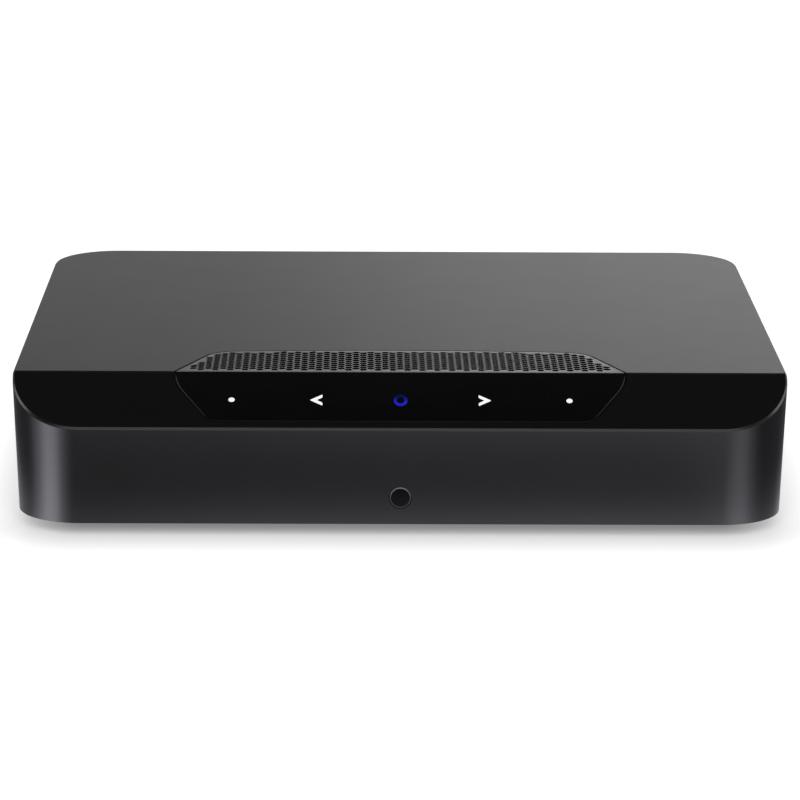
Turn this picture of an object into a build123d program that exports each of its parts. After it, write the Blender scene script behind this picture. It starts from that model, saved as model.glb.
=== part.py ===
from build123d import *
import os
from math import cos, radians, sin, tan

# Streaming amplifier. Sizes are in millimetres and degrees. Z is up and the front faces -Y.
# The origin lies on the table, under the middle of the overall box.

# Outer form
width = 219.0
shell_depth = 185.0
height = 44.0
corner_radius = 19.5
side_draft = 1.9
rim_height = 4.9
wall = 2.5
edge_chamfer = 0.5
crease_setback = 20.6
facet_angle = 29.3

# Inlay across the crease
inlay_half_width = 64.1
grille_depth = 26.5
grille_bow = 2.3
grille_flare = 23.6
grille_corner = 9.0
panel_length = 20.5
panel_flare = 33.0
panel_shoulder = 15.0
panel_corner = 5.0
lap = 6.0
lip_width = 0.35
shelf_width = 2.0
plate_thickness = 1.4
flange_width = 3.0
flange_thickness = 1.2
fit_gap = 0.15
grille_border = 0.8
hole_pitch = 4.2
web_width = 0.75

# Touch controls under the facet
icon_spacing = 23.7
icon_count = 5
icon_drop = 11.5
guide_pad = 5.0
guide_bar_thickness = 0.8
touch_board_width = 106.0
touch_board_top = 4.0
touch_board_bottom = 20.4
small_board_thickness = 1.0
led_size = 1.6
led_height = 0.6
led_gap = 0.1
peg_radius = 0.8
peg_offset = 49.0
peg_drop = 19.0
peg_length = 1.8
ribbon_width = 12.0
ribbon_thickness = 0.3
ribbon_connector_width = 14.0
ribbon_connector_depth = 4.0
ribbon_connector_height = 1.6
ribbon_socket_setback = 12.0
ribbon_exit_run = 6.0
ribbon_sweep = 12.0
ribbon_drop = 6.5
ribbon_rise = 2.5
ribbon_bend = 1.5

# Infrared window
window_radius = 3.0
window_height = 12.6
window_flange = 1.2
window_flange_thickness = 1.0
receiver_width = 6.0
receiver_depth = 4.0
receiver_height = 8.0
receiver_lens_radius = 2.2
receiver_lens_depth = 1.1
receiver_lens_taper = 30.0

# Base and feet
base_gap = 0.3
base_thickness = 2.0
foot_spread_x = 160.0
foot_spread_y = 126.0
foot_radius = 10.0
foot_toe_radius = 9.0
foot_peg_radius = 3.0
boss_inset = 10.5
boss_spread_y = 128.0
boss_radius = 4.0
screw_radius = 1.5
screw_head_radius = 2.9
screw_head_height = 1.8
screw_clearance = 0.1
screw_sides = 8
case_screw_length = 12.0
sink_angle = 90.0
vent_slot_width = 3.0
vent_slot_length = 26.0
vent_slot_pitch = 12.0
vent_slots = 7
vent_row_spacing = 62.0

# Circuit boards
board_thickness = 1.6
standoff_height = 5.0
standoff_radius = 3.2
board_corner = 2.0
fixing_inset = 5.0
board_screw_length = 6.0
board_side_x = 89.0
board_split_x = -40.0
board_split_gap = 4.0
board_front_gap = 12.3
board_rear_gap = 2.5
arm_left_x = -67.0
arm_depth = 23.0
power_board_front = -64.0

# Amplifier stage under the grille
chip_size = 14.0
chip_height = 1.2
chip_spacing = 32.0
sink_centre_x = 16.0
sink_setback = 28.9
sink_width = 80.0
sink_depth = 34.0
sink_base = 4.0
sink_height = 21.0
fin_count = 14
fin_thickness = 1.4
inductor_size = 11.0
inductor_height = 9.0
inductor_setback = 17.5
film_width = 10.0
film_depth = 5.0
film_height = 9.0
film_pitch = 14.0
can_radius = 8.0
can_height = 20.0
can_pitch = 20.0
can_edge = 0.5
part_gap = 2.0
processor_size = 14.0

# Network module
module_x = 62.0
module_y = 16.0
module_width = 36.0
module_depth = 28.0
module_lift = 3.0
header_width = 32.0
header_depth = 5.0
shield_width = 28.0
shield_depth = 20.0
shield_height = 2.4
antenna_width = 30.0
antenna_height = 9.0
antenna_thickness = 0.8
antenna_y = 30.0
lead_radius = 0.6
lead_rise = 5.0
lead_arch = 1.0
lead_bend = 1.5

# Power supply
transformer_width = 28.0
transformer_depth = 20.0
transformer_height = 22.0
transformer_leg = 5.0
bulk_radius = 11.0
bulk_height = 25.0
choke_radius = 9.0
choke_section = 6.0
x_cap_width = 18.0
x_cap_depth = 8.0
x_cap_height = 14.0
fuse_radius = 2.6
fuse_length = 20.0
rectifier_width = 18.0
rectifier_depth = 4.0
rectifier_height = 15.0
plate_sink_thickness = 3.0
plate_sink_length = 22.0
plate_sink_height = 20.0
terminal_x = -64.0
terminal_size = 9.0
wire_radius = 0.9
wire_sides = 6
mains_wire_run = 5.0
mains_wire_rise = 5.0
mains_wire_stagger = 0.5
mains_wire_bend = 2.0
supply_wire_gap = 8.0
supply_wire_pitch = 3.0
supply_wire_rise = 7.0
supply_wire_bend = 2.5
supply_wire_count = 3

# Rear panel
rear_recess = 11.0
panel_thickness = 2.0
tray_wall = 1.8
notch_width = 196.0
notch_top = 37.5
notch_corner = 3.0
tray_setback = 1.6
lug_width = 7.0
lug_depth = 7.0
lug_height = 27.0
lug_x = 93.0
panel_screw_height = 30.3
panel_screw_length = 7.0

# Sockets
ethernet_x = 80.0
ethernet_width = 16.0
ethernet_height = 13.4
ethernet_length = 18.0
ethernet_mouth_width = 11.8
ethernet_mouth_height = 7.0
ethernet_mouth_depth = 12.5
ethernet_floor = 1.4
latch_width = 6.2
latch_height = 1.6
latch_slot_width = 3.4
latch_slot_height = 1.4
contact_count = 8
contact_pitch = 1.02
contact_width = 0.4
contact_length = 7.0
usb_x = 62.0
usb_width = 13.2
usb_height = 5.8
usb_length = 14.0
hdmi_x = 44.0
hdmi_width = 15.0
hdmi_height = 5.6
hdmi_length = 12.0
hdmi_chamfer = 1.6
sheet = 0.4
tongue_thickness = 1.8
tongue_setback = 1.5
tongue_block = 3.0
line_x = 27.0
line_body = 11.0
line_body_length = 13.0
line_axis_height = 19.6
line_collar_radius = 4.0
line_bore_radius = 1.8
sub_x = 11.0
sub_body = 10.0
sub_body_length = 11.0
jack_axis_height = 22.0
sub_sleeve_radius = 4.15
sub_sleeve_wall = 0.5
sub_sleeve_length = 8.5
sub_core_bore = 1.6

# Mains inlet
inlet_x = -79.0
inlet_height = 19.5
inlet_flange_width = 24.0
inlet_flange_height = 16.0
inlet_flange_thickness = 1.5
inlet_body_width = 20.0
inlet_body_height = 12.6
inlet_body_length = 16.0
inlet_lobe_radius = 4.5
inlet_waist = 7.4
inlet_depth = 12.5
pin_pitch = 8.6
pin_radius = 1.2
pin_setback = 2.0
pin_tail = 4.0

# Speaker binding posts
post_x = -3.0
post_pitch = 19.0
post_count = 4
post_overhang = 8.0
post_radius = 3.0
post_bore = 2.0
post_bore_depth = 15.0
post_setback = 1.0
post_inner_length = 7.0
rod_sides = 8
wire_hole_radius = 1.5
collar_radius = 6.5
collar_thickness = 2.5
spigot_radius = 4.4
spigot_sides = 6
shoulder_radius = 4.8
shoulder_thickness = 1.0
washer_radius = 5.6
washer_thickness = 1.2
washer_gap = 0.2
knob_radius = 6.2
knob_gap = 0.1
running_gap = 0.06
flute_count = 12
flute_size = 1.0
knob_chamfer = 0.8
nut_width = 8.0
nut_thickness = 2.8
tab_width = 9.0
tab_thickness = 1.0

# Places worked out from the sizes above
front_y = -(shell_depth + post_overhang) / 2
rear_y = front_y + shell_depth
tail_y = rear_y + post_overhang
middle_y = (front_y + rear_y) / 2
crease_y = front_y + crease_setback
facet_tilt = radians(facet_angle)
top_plane = Plane(origin=(0, crease_y, height), x_dir=(1, 0, 0), z_dir=(0, 0, 1))
facet_plane = Plane(
    origin=(0, crease_y, height),
    x_dir=(1, 0, 0),
    z_dir=(0, -sin(facet_tilt), cos(facet_tilt)),
)
mitre_plane = Plane(
    origin=(0, crease_y, height),
    x_dir=(1, 0, 0),
    z_dir=(0, cos(facet_tilt / 2), sin(facet_tilt / 2)),
)
draft_tilt = radians(side_draft)
window_y = front_y + (height - window_height) * tan(draft_tilt)
front_plane = Plane(
    origin=(0, window_y, window_height),
    x_dir=(1, 0, 0),
    z_dir=(0, -cos(draft_tilt), -sin(draft_tilt)),
)
base_bottom = rim_height + base_gap
base_top = base_bottom + base_thickness
board_bottom = base_top + standoff_height
board_top = board_bottom + board_thickness
small_gap = fit_gap / 2
flange_bottom = wall + flange_thickness
panel_face_y = rear_y - rear_recess
panel_back_y = panel_face_y - panel_thickness
tray_rim_y = rear_y - tray_setback
main_board_front = front_y + board_front_gap
main_board_rear = panel_back_y - board_rear_gap
arm_front_y = main_board_rear - arm_depth
power_board_rear = arm_front_y - board_split_gap
sink_centre_y = crease_y + sink_setback
inductor_y = panel_back_y - inductor_setback
boss_x = width / 2 - boss_inset
boss_places = [
    (x, middle_y + y)
    for x in (-boss_x, boss_x)
    for y in (-boss_spread_y / 2, boss_spread_y / 2)
]
foot_places = [
    (x, middle_y + y)
    for x in (-foot_spread_x / 2, foot_spread_x / 2)
    for y in (-foot_spread_y / 2, foot_spread_y / 2)
]
post_places = [post_x - post_pitch * index for index in range(post_count)]
post_centres = [(x, jack_axis_height) for x in post_places]
sleeve_bore = sub_sleeve_radius - sub_sleeve_wall
board_left_x = board_split_x + board_split_gap / 2
power_right_x = board_split_x - board_split_gap / 2
main_fixings = [
    (board_left_x + fixing_inset, main_board_front + fixing_inset),
    (board_side_x - fixing_inset, main_board_front + fixing_inset),
    (board_side_x - fixing_inset, arm_front_y),
    (post_places[-2] - post_pitch / 2, inductor_y),
]
power_fixings = [
    (x, y)
    for x in (-board_side_x + fixing_inset, power_right_x - fixing_inset)
    for y in (power_board_front + fixing_inset, power_board_rear - fixing_inset)
]
sink_bottom = board_top + chip_height

os.makedirs("parts", exist_ok=True)


def upright(y):
    """Vertical plane across the body at y. Its normal points to the front."""
    return Plane.XZ.offset(-y)


def tapered_form(inset, ceiling, floor):
    """The drafted outer form with its facet, drawn in by inset and cut level at both ends.

    It narrows downwards, so it is drawn upside down below the table and mirrored up.
    """
    with BuildPart() as form:
        with BuildSketch(Plane.XY.offset(-height)):
            with Locations((0, middle_y)):
                RectangleRounded(width - 2 * inset, shell_depth - 2 * inset, corner_radius - inset)
        extrude(amount=height - floor, taper=side_draft)
        mirror(about=Plane.XY, mode=Mode.REPLACE)
        split(bisect_by=facet_plane.offset(-inset), keep=Keep.BOTTOM)
        if ceiling < height:
            split(bisect_by=Plane.XY.offset(ceiling), keep=Keep.BOTTOM)
    return form.part


def grille_outline(grow):
    """Outline of the inlay on the flat top, in the top plane, running lap over the crease."""
    side_run = grille_depth - grille_bow
    corner_x = inlay_half_width - side_run * tan(radians(grille_flare))
    with BuildSketch() as outline:
        with BuildLine():
            Polyline(
                (-corner_x, side_run),
                (-inlay_half_width, 0),
                (-inlay_half_width, -lap),
                (inlay_half_width, -lap),
                (inlay_half_width, 0),
                (corner_x, side_run),
            )
            ThreePointArc((corner_x, side_run), (0, grille_depth), (-corner_x, side_run))
        make_face()
        fillet(outline.vertices().sort_by(Axis.Y)[-2:], grille_corner)
        if grow:
            offset(amount=grow, kind=Kind.INTERSECTION)
    return outline.sketch


def panel_outline(grow):
    """Outline of the inlay on the facet, in the facet plane, running lap over the crease."""
    turn = radians(panel_flare)
    bend = (inlay_half_width - panel_shoulder * (1 - cos(turn)), -panel_shoulder * sin(turn))
    foot_x = bend[0] - (panel_length + bend[1]) * tan(turn)
    with BuildSketch() as outline:
        with BuildLine():
            TangentArc((inlay_half_width, 0), bend, tangent=(0, -1))
            Polyline(bend, (foot_x, -panel_length), (-foot_x, -panel_length), (-bend[0], bend[1]))
            TangentArc((-inlay_half_width, 0), (-bend[0], bend[1]), tangent=(0, -1))
            Polyline(
                (-inlay_half_width, 0),
                (-inlay_half_width, lap),
                (inlay_half_width, lap),
                (inlay_half_width, 0),
            )
        make_face()
        fillet(outline.vertices().sort_by(Axis.Y)[:2], panel_corner)
        if grow:
            offset(amount=grow, kind=Kind.INTERSECTION)
    return outline.sketch


def top_half(grow, top, bottom, gap):
    """The inlay's half behind the crease, between two depths below the surface."""
    with BuildPart() as half:
        with BuildSketch(top_plane.offset(-top)):
            add(grille_outline(grow))
        extrude(amount=top - bottom)
        split(bisect_by=mitre_plane.offset(gap), keep=Keep.TOP)
    return half.part


def facet_half(grow, top, bottom, gap):
    """The inlay's half in front of the crease, between two depths below the surface."""
    with BuildPart() as half:
        with BuildSketch(facet_plane.offset(-top)):
            add(panel_outline(grow))
        extrude(amount=top - bottom)
        split(bisect_by=mitre_plane.offset(-gap), keep=Keep.BOTTOM)
    return half.part


def inlay_block(grow, top, bottom):
    """Both halves in one, following the surface over the crease."""
    front = facet_half(grow, top, bottom, 0)
    back = top_half(grow, top, bottom, 0)
    with BuildPart() as block:
        add(back)
        add(front)
    return block.part


# Top shell: cast cover with a faceted front, open below and at the back
shell_outer = tapered_form(0, height, rim_height)
shell_inner = tapered_form(wall, height - wall, 0)
inlay_opening = inlay_block(fit_gap, -lap, wall + lap)
notch_cut = rear_y + lap - panel_back_y + fit_gap
with BuildPart() as top_shell:
    add(shell_outer)
    crown = top_shell.faces().sort_by(Axis.Z)[-1].edges()
    slope = top_shell.faces().filter_by(facet_plane).edges()
    chamfer(ShapeList(set(crown + slope)), edge_chamfer)
    add(shell_inner, mode=Mode.SUBTRACT)
    with BuildSketch(upright(rear_y + lap)):
        with Locations((0, notch_top / 2)):
            RectangleRounded(notch_width, notch_top, notch_corner)
        with Locations((0, notch_top / 4)):
            Rectangle(notch_width, notch_top / 2)
    extrude(amount=notch_cut, mode=Mode.SUBTRACT)
    with BuildSketch(front_plane.offset(lap)):
        Circle(window_radius + fit_gap)
    extrude(amount=-2 * lap, mode=Mode.SUBTRACT)
    with BuildSketch(Plane.XY.offset(base_top)):
        with Locations(*boss_places):
            Circle(boss_radius)
    extrude(amount=height - wall - base_top)
    with BuildSketch(Plane.XY.offset(base_top)):
        with Locations(*boss_places):
            RegularPolygon(screw_radius + screw_clearance, screw_sides)
    extrude(amount=case_screw_length, mode=Mode.SUBTRACT)
    add(inlay_opening, mode=Mode.SUBTRACT)
top_shell.part.label = "top_shell"

# Inlay frame: carrier that seats under the shell's opening and holds grille and touch panel
flange_limit = tapered_form(wall + fit_gap, height - wall, base_top)
flange_block = inlay_block(flange_width, wall, flange_bottom)
lip_block = inlay_block(0, 0, flange_bottom)
seat_block = inlay_block(-lip_width, -lap, plate_thickness)
window_block = inlay_block(-lip_width - shelf_width, -lap, wall + lap)
with BuildPart() as inlay_frame:
    add(flange_block)
    add(flange_limit, mode=Mode.INTERSECT)
    add(lip_block)
    add(seat_block, mode=Mode.SUBTRACT)
    add(window_block, mode=Mode.SUBTRACT)
    with BuildSketch(facet_plane.offset(-flange_bottom)):
        with Locations((-peg_offset, -peg_drop), (peg_offset, -peg_drop)):
            Circle(peg_radius)
    extrude(amount=-peg_length)
inlay_frame.part.label = "inlay_frame"

# Vent grille: flat honeycomb plate, its holes in staggered columns inside a plain border
column_pitch = hole_pitch * cos(radians(30))
hole_radius = (hole_pitch - web_width) / 2 / cos(radians(30))
hole_field = grille_outline(-lip_width - fit_gap - grille_border - hole_radius).face()
column_reach = int(inlay_half_width / column_pitch)
row_reach = int(grille_depth / hole_pitch) + 1
hole_places = []
for column in range(-column_reach, column_reach + 1):
    for row in range(row_reach):
        place = (column * column_pitch, grille_border + (row + 0.5 + 0.5 * (column % 2)) * hole_pitch)
        if hole_field.is_inside((place[0], place[1], 0)):
            hole_places.append(place)
grille_blank = top_half(-lip_width - fit_gap, 0, plate_thickness, small_gap)
with BuildPart() as vent_grille:
    add(grille_blank)
    with BuildSketch(top_plane):
        with Locations(*hole_places):
            RegularPolygon(hole_radius, 6)
    extrude(amount=-plate_thickness, mode=Mode.SUBTRACT)
vent_grille.part.label = "vent_grille"

# Touch panel: one glossy plate on the facet
panel_blank = facet_half(-lip_width - fit_gap, 0, plate_thickness, small_gap)
with BuildPart() as touch_panel:
    add(panel_blank)
touch_panel.part.label = "touch_panel"

# Light guide: clear pads behind the icons, joined by a bar
guide_bottom = flange_bottom - led_height - led_gap
with BuildPart() as light_guide:
    with BuildSketch(facet_plane.offset(-plate_thickness)):
        with Locations((0, -icon_drop)):
            with GridLocations(icon_spacing, 0, icon_count, 1):
                Rectangle(guide_pad, guide_pad)
    extrude(amount=plate_thickness - guide_bottom)
    with BuildSketch(facet_plane.offset(-guide_bottom)):
        with Locations((0, -icon_drop)):
            Rectangle((icon_count - 1) * icon_spacing, guide_pad)
    extrude(amount=guide_bar_thickness)
light_guide.part.label = "light_guide"

# Touch board: sensor board pegged under the frame, with its lamps and the ribbon socket
touch_board_bottom_depth = flange_bottom + small_board_thickness
with BuildPart() as touch_board:
    with BuildSketch(facet_plane.offset(-flange_bottom)):
        with Locations((0, -(touch_board_top + touch_board_bottom) / 2)):
            RectangleRounded(touch_board_width, touch_board_bottom - touch_board_top, board_corner)
        with Locations((-peg_offset, -peg_drop), (peg_offset, -peg_drop)):
            Circle(peg_radius + small_gap, mode=Mode.SUBTRACT)
    extrude(amount=-small_board_thickness)
    with BuildSketch(facet_plane.offset(-flange_bottom)):
        with Locations((0, -icon_drop)):
            with GridLocations(icon_spacing, 0, icon_count, 1):
                Rectangle(led_size, led_size)
    extrude(amount=led_height)
    with BuildSketch(facet_plane.offset(-touch_board_bottom_depth)):
        with Locations((0, -icon_drop)):
            Rectangle(ribbon_connector_width, ribbon_connector_depth)
    extrude(amount=-ribbon_connector_height)
touch_board.part.label = "touch_board"

# Ribbon cable: flat strip from the touch board down to the main board
ribbon_start_depth = touch_board_bottom_depth + ribbon_connector_height
ribbon_start = facet_plane.offset(-ribbon_start_depth).from_local_coords((0, -icon_drop))
ribbon_socket_y = main_board_front + ribbon_socket_setback
ribbon_socket_top = board_top + ribbon_connector_height
with BuildPart() as ribbon_cable:
    with BuildSketch(Plane.YZ.offset(-ribbon_width / 2)):
        with BuildLine():
            ribbon_route = FilletPolyline(
                (ribbon_start.Y, ribbon_start.Z),
                (
                    ribbon_start.Y + ribbon_exit_run * sin(facet_tilt),
                    ribbon_start.Z - ribbon_exit_run * cos(facet_tilt),
                ),
                (ribbon_start.Y + ribbon_sweep, ribbon_start.Z - ribbon_drop),
                (ribbon_socket_y, ribbon_socket_top + ribbon_rise),
                (ribbon_socket_y, ribbon_socket_top),
                radius=ribbon_bend,
            )
        trace(ribbon_route, ribbon_thickness)
    extrude(amount=ribbon_width)
ribbon_cable.part.label = "ribbon_cable"

# Infrared window: glossy disc in the front wall with a flange behind it
with BuildPart() as ir_window:
    with BuildSketch(front_plane.offset(-wall)):
        Circle(window_radius + window_flange)
    extrude(amount=-window_flange_thickness)
    with BuildSketch(front_plane.offset(-wall)):
        Circle(window_radius)
    extrude(amount=wall)
ir_window.part.label = "ir_window"

# Infrared receiver: block on the front edge of the main board, its lens towards the window
receiver_front = main_board_front - receiver_depth
with BuildPart() as ir_receiver:
    with BuildSketch(upright(main_board_front)):
        with Locations((0, window_height)):
            Rectangle(receiver_width, receiver_height)
    extrude(amount=receiver_depth)
    with BuildSketch(upright(receiver_front)):
        with Locations((0, window_height)):
            Circle(receiver_lens_radius)
    extrude(amount=receiver_lens_depth, taper=receiver_lens_taper)
ir_receiver.part.label = "ir_receiver"

# Base plate: closes the shell from below and carries boards, lugs and feet
base_form = tapered_form(wall + base_gap, base_top, base_bottom)
with BuildPart() as base_plate:
    add(base_form)
    with BuildSketch(Plane.XY.offset(base_top)):
        with Locations(*main_fixings, *power_fixings):
            RegularPolygon(standoff_radius, 6)
    extrude(amount=standoff_height)
    with BuildSketch(Plane.XY.offset(board_bottom)):
        with Locations(*main_fixings, *power_fixings):
            RegularPolygon(screw_radius + screw_clearance, screw_sides)
    extrude(amount=-board_screw_length, mode=Mode.SUBTRACT)
    with BuildSketch(Plane.XY.offset(base_top)):
        with Locations((-lug_x, panel_back_y - lug_depth / 2), (lug_x, panel_back_y - lug_depth / 2)):
            Rectangle(lug_width, lug_depth)
    extrude(amount=lug_height)
    with BuildSketch(upright(panel_back_y)):
        with Locations((-lug_x, panel_screw_height), (lug_x, panel_screw_height)):
            RegularPolygon(screw_radius + screw_clearance, screw_sides)
    extrude(amount=panel_screw_length - panel_thickness + screw_clearance, mode=Mode.SUBTRACT)
    with BuildSketch(Plane.XY.offset(base_bottom)):
        with Locations((0, middle_y)):
            with GridLocations(vent_slot_pitch, vent_row_spacing, vent_slots, 2):
                Rectangle(vent_slot_width, vent_slot_length)
    extrude(amount=base_thickness, mode=Mode.SUBTRACT)
    with BuildSketch(Plane.XY.offset(base_bottom)):
        with Locations(*foot_places):
            RegularPolygon(foot_peg_radius + small_gap, screw_sides)
    extrude(amount=base_thickness, mode=Mode.SUBTRACT)
    with Locations(*[Plane(origin=(x, y, base_bottom), z_dir=(0, 0, -1)) for x, y in boss_places]):
        CounterSinkHole(
            screw_radius + screw_clearance,
            screw_head_radius + screw_clearance,
            base_thickness,
            counter_sink_angle=sink_angle,
        )
base_plate.part.label = "base_plate"

# Feet: rubber pads with a peg in the base
with BuildPart() as feet:
    for x, y in foot_places:
        with BuildSketch(Plane(origin=(x, y, base_bottom), x_dir=(1, 0, 0), z_dir=(0, 0, -1))):
            Circle(foot_radius)
        with BuildSketch(Plane(origin=(x, y, 0), x_dir=(1, 0, 0), z_dir=(0, 0, -1))):
            Circle(foot_toe_radius)
        loft()
        with BuildSketch(Plane(origin=(x, y, base_bottom))):
            RegularPolygon(foot_peg_radius, screw_sides)
        extrude(amount=base_thickness)
feet.part.label = "feet"


def sunk_screw(x, y):
    """Countersunk screw from below through the base into a boss, with few sides."""
    head_height = screw_head_radius - screw_radius
    with BuildPart() as screw:
        with BuildSketch(Plane(origin=(x, y, base_bottom))):
            RegularPolygon(screw_head_radius, screw_sides)
        with BuildSketch(Plane(origin=(x, y, base_bottom + head_height))):
            RegularPolygon(screw_radius, screw_sides)
        loft()
        with BuildSketch(Plane(origin=(x, y, base_bottom + head_height))):
            RegularPolygon(screw_radius, screw_sides)
        extrude(amount=case_screw_length - head_height)
    return screw.part


def pan_screw(plane, length):
    """Pan-head screw. Its head stands on the plane and its shank goes down through it."""
    with BuildPart() as screw:
        with BuildSketch(plane):
            RegularPolygon(screw_head_radius, screw_sides)
        extrude(amount=screw_head_height)
        with BuildSketch(plane):
            RegularPolygon(screw_radius, screw_sides)
        extrude(amount=-length)
    return screw.part


# Screws: case screws from below, board screws, and two through the rear panel
case_screw_set = [sunk_screw(x, y) for x, y in boss_places]
with BuildPart() as case_screws:
    add(case_screw_set)
case_screws.part.label = "case_screws"

board_screw_set = [
    pan_screw(Plane(origin=(x, y, board_top)), board_screw_length)
    for x, y in main_fixings + power_fixings
]
with BuildPart() as board_screws:
    add(board_screw_set)
board_screws.part.label = "board_screws"

panel_screw_set = [
    pan_screw(Plane(origin=(x, panel_face_y, panel_screw_height), z_dir=(0, 1, 0)), panel_screw_length)
    for x in (-lug_x, lug_x)
]
with BuildPart() as rear_panel_screws:
    add(panel_screw_set)
rear_panel_screws.part.label = "rear_panel_screws"

# Main board: main field and an arm to the left behind the speaker posts
with BuildPart() as main_board:
    with BuildSketch(Plane.XY.offset(board_bottom)) as board_sketch:
        with BuildLine():
            Polyline(
                (board_left_x, main_board_front),
                (board_side_x, main_board_front),
                (board_side_x, main_board_rear),
                (arm_left_x, main_board_rear),
                (arm_left_x, arm_front_y),
                (board_left_x, arm_front_y),
                close=True,
            )
        make_face()
        fillet(board_sketch.vertices(), board_corner)
        with Locations(*main_fixings):
            RegularPolygon(screw_radius + screw_clearance, screw_sides, mode=Mode.SUBTRACT)
    extrude(amount=board_thickness)
    with BuildSketch(Plane.XY.offset(board_top)):
        with Locations((0, ribbon_socket_y)):
            Rectangle(ribbon_connector_width, ribbon_connector_depth)
    extrude(amount=ribbon_connector_height)
    with BuildSketch(Plane.XY.offset(board_top)):
        with Locations((sink_centre_x, module_y)):
            Rectangle(processor_size, processor_size)
    extrude(amount=chip_height)
    with BuildSketch(Plane.XY.offset(board_top)):
        with Locations((module_x, module_y)):
            Rectangle(header_width, header_depth)
    extrude(amount=module_lift)
main_board.part.label = "main_board"

# Power board, with the terminal that takes the mains wires
terminal_y = power_board_rear - terminal_size
power_middle_x = (power_right_x - board_side_x) / 2
with BuildPart() as power_board:
    with BuildSketch(Plane.XY.offset(board_bottom)):
        with Locations((power_middle_x, (power_board_front + power_board_rear) / 2)):
            RectangleRounded(power_right_x + board_side_x, power_board_rear - power_board_front, board_corner)
        with Locations(*power_fixings):
            RegularPolygon(screw_radius + screw_clearance, screw_sides, mode=Mode.SUBTRACT)
    extrude(amount=board_thickness)
    with BuildSketch(Plane.XY.offset(board_top)):
        with Locations((terminal_x, terminal_y)):
            Rectangle(terminal_size, terminal_size)
    extrude(amount=terminal_size)
power_board.part.label = "power_board"

# Amplifier stage: two chips, the finned heat sink on them, output filter and supply cans
with BuildPart() as amplifier_chips:
    with BuildSketch(Plane.XY.offset(board_top)):
        with Locations((sink_centre_x, sink_centre_y)):
            with GridLocations(chip_spacing, 0, 2, 1):
                Rectangle(chip_size, chip_size)
    extrude(amount=chip_height)
amplifier_chips.part.label = "amplifier_chips"

with BuildPart() as heat_sink:
    with BuildSketch(Plane.XY.offset(sink_bottom)):
        with Locations((sink_centre_x, sink_centre_y)):
            Rectangle(sink_width, sink_depth)
    extrude(amount=sink_base)
    with BuildSketch(Plane.XY.offset(sink_bottom + sink_base)):
        with Locations((sink_centre_x, sink_centre_y)):
            with GridLocations((sink_width - fin_thickness) / (fin_count - 1), 0, fin_count, 1):
                Rectangle(fin_thickness, sink_depth)
    extrude(amount=sink_height - sink_base)
heat_sink.part.label = "heat_sink"

with BuildPart() as output_inductors:
    with BuildSketch(Plane.XY.offset(board_top)):
        with Locations(*[(x, inductor_y) for x in post_places]):
            Rectangle(inductor_size, inductor_size)
    extrude(amount=inductor_height)
    chamfer(output_inductors.edges().filter_by(Axis.Z), board_corner)
output_inductors.part.label = "output_inductors"

with BuildPart() as filter_capacitors:
    with BuildSketch(Plane.XY.offset(board_top)):
        with Locations((post_places[0], inductor_y - 2 * inductor_size)):
            with GridLocations(film_pitch, 0, post_count, 1):
                Rectangle(film_width, film_depth)
    extrude(amount=film_height)
filter_capacitors.part.label = "filter_capacitors"


def capacitor_can(x, y, radius, tall):
    """Electrolytic capacitor: upright can with a broken top edge."""
    with BuildPart() as can:
        with BuildSketch(Plane(origin=(x, y, board_top))):
            Circle(radius)
        extrude(amount=tall)
        chamfer(can.faces().sort_by(Axis.Z)[-1].edges(), can_edge)
    return can.part


can_x = board_side_x - 2 * can_radius
can_set = [capacitor_can(can_x, sink_centre_y + step * can_pitch, can_radius, can_height) for step in (0, 1)]
with BuildPart() as supply_capacitors:
    add(can_set)
supply_capacitors.part.label = "supply_capacitors"

# Network module on its header, its shield, two antennas and their leads
module_bottom = board_top + module_lift
module_top = module_bottom + small_board_thickness
with BuildPart() as streaming_module:
    with BuildSketch(Plane.XY.offset(module_bottom)):
        with Locations((module_x, module_y)):
            RectangleRounded(module_width, module_depth, board_corner)
    extrude(amount=small_board_thickness)
streaming_module.part.label = "streaming_module"

with BuildPart() as module_shield:
    with BuildSketch(Plane.XY.offset(module_top)):
        with Locations((module_x, module_y)):
            RectangleRounded(shield_width, shield_depth, board_corner / 2)
    extrude(amount=shield_height)
module_shield.part.label = "module_shield"

antenna_x = boss_x - boss_radius / 2
with BuildPart() as wifi_antennas:
    with BuildSketch(Plane.XY.offset(base_top)):
        with Locations((antenna_x, middle_y - antenna_y), (antenna_x, middle_y + antenna_y)):
            Rectangle(antenna_thickness, antenna_width)
    extrude(amount=antenna_height + standoff_height)
wifi_antennas.part.label = "wifi_antennas"


def antenna_lead(start_y, end_y):
    """Thin coaxial lead from the module's top over to one antenna."""
    start_x = module_x + module_width / 2 - 2 * lead_radius
    end_x = antenna_x - antenna_thickness / 2 - lead_radius
    end_z = base_top + standoff_height
    high = module_top + lead_rise
    with BuildPart() as lead:
        with BuildLine() as route:
            FilletPolyline(
                (start_x, start_y, module_top),
                (start_x, start_y, high),
                ((start_x + end_x) / 2, (start_y + end_y) / 2, high + lead_arch),
                (end_x, end_y, high),
                (end_x, end_y, end_z),
                radius=lead_bend,
            )
        with BuildSketch(Plane(origin=(start_x, start_y, module_top), z_dir=(0, 0, 1))):
            RegularPolygon(lead_radius, wire_sides)
        sweep(path=route.line)
    return lead.part


lead_set = [
    antenna_lead(module_y - shield_depth / 2, middle_y - antenna_y),
    antenna_lead(module_y + shield_depth / 2, middle_y + antenna_y),
]
with BuildPart() as antenna_leads:
    add(lead_set)
antenna_leads.part.label = "antenna_leads"

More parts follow.
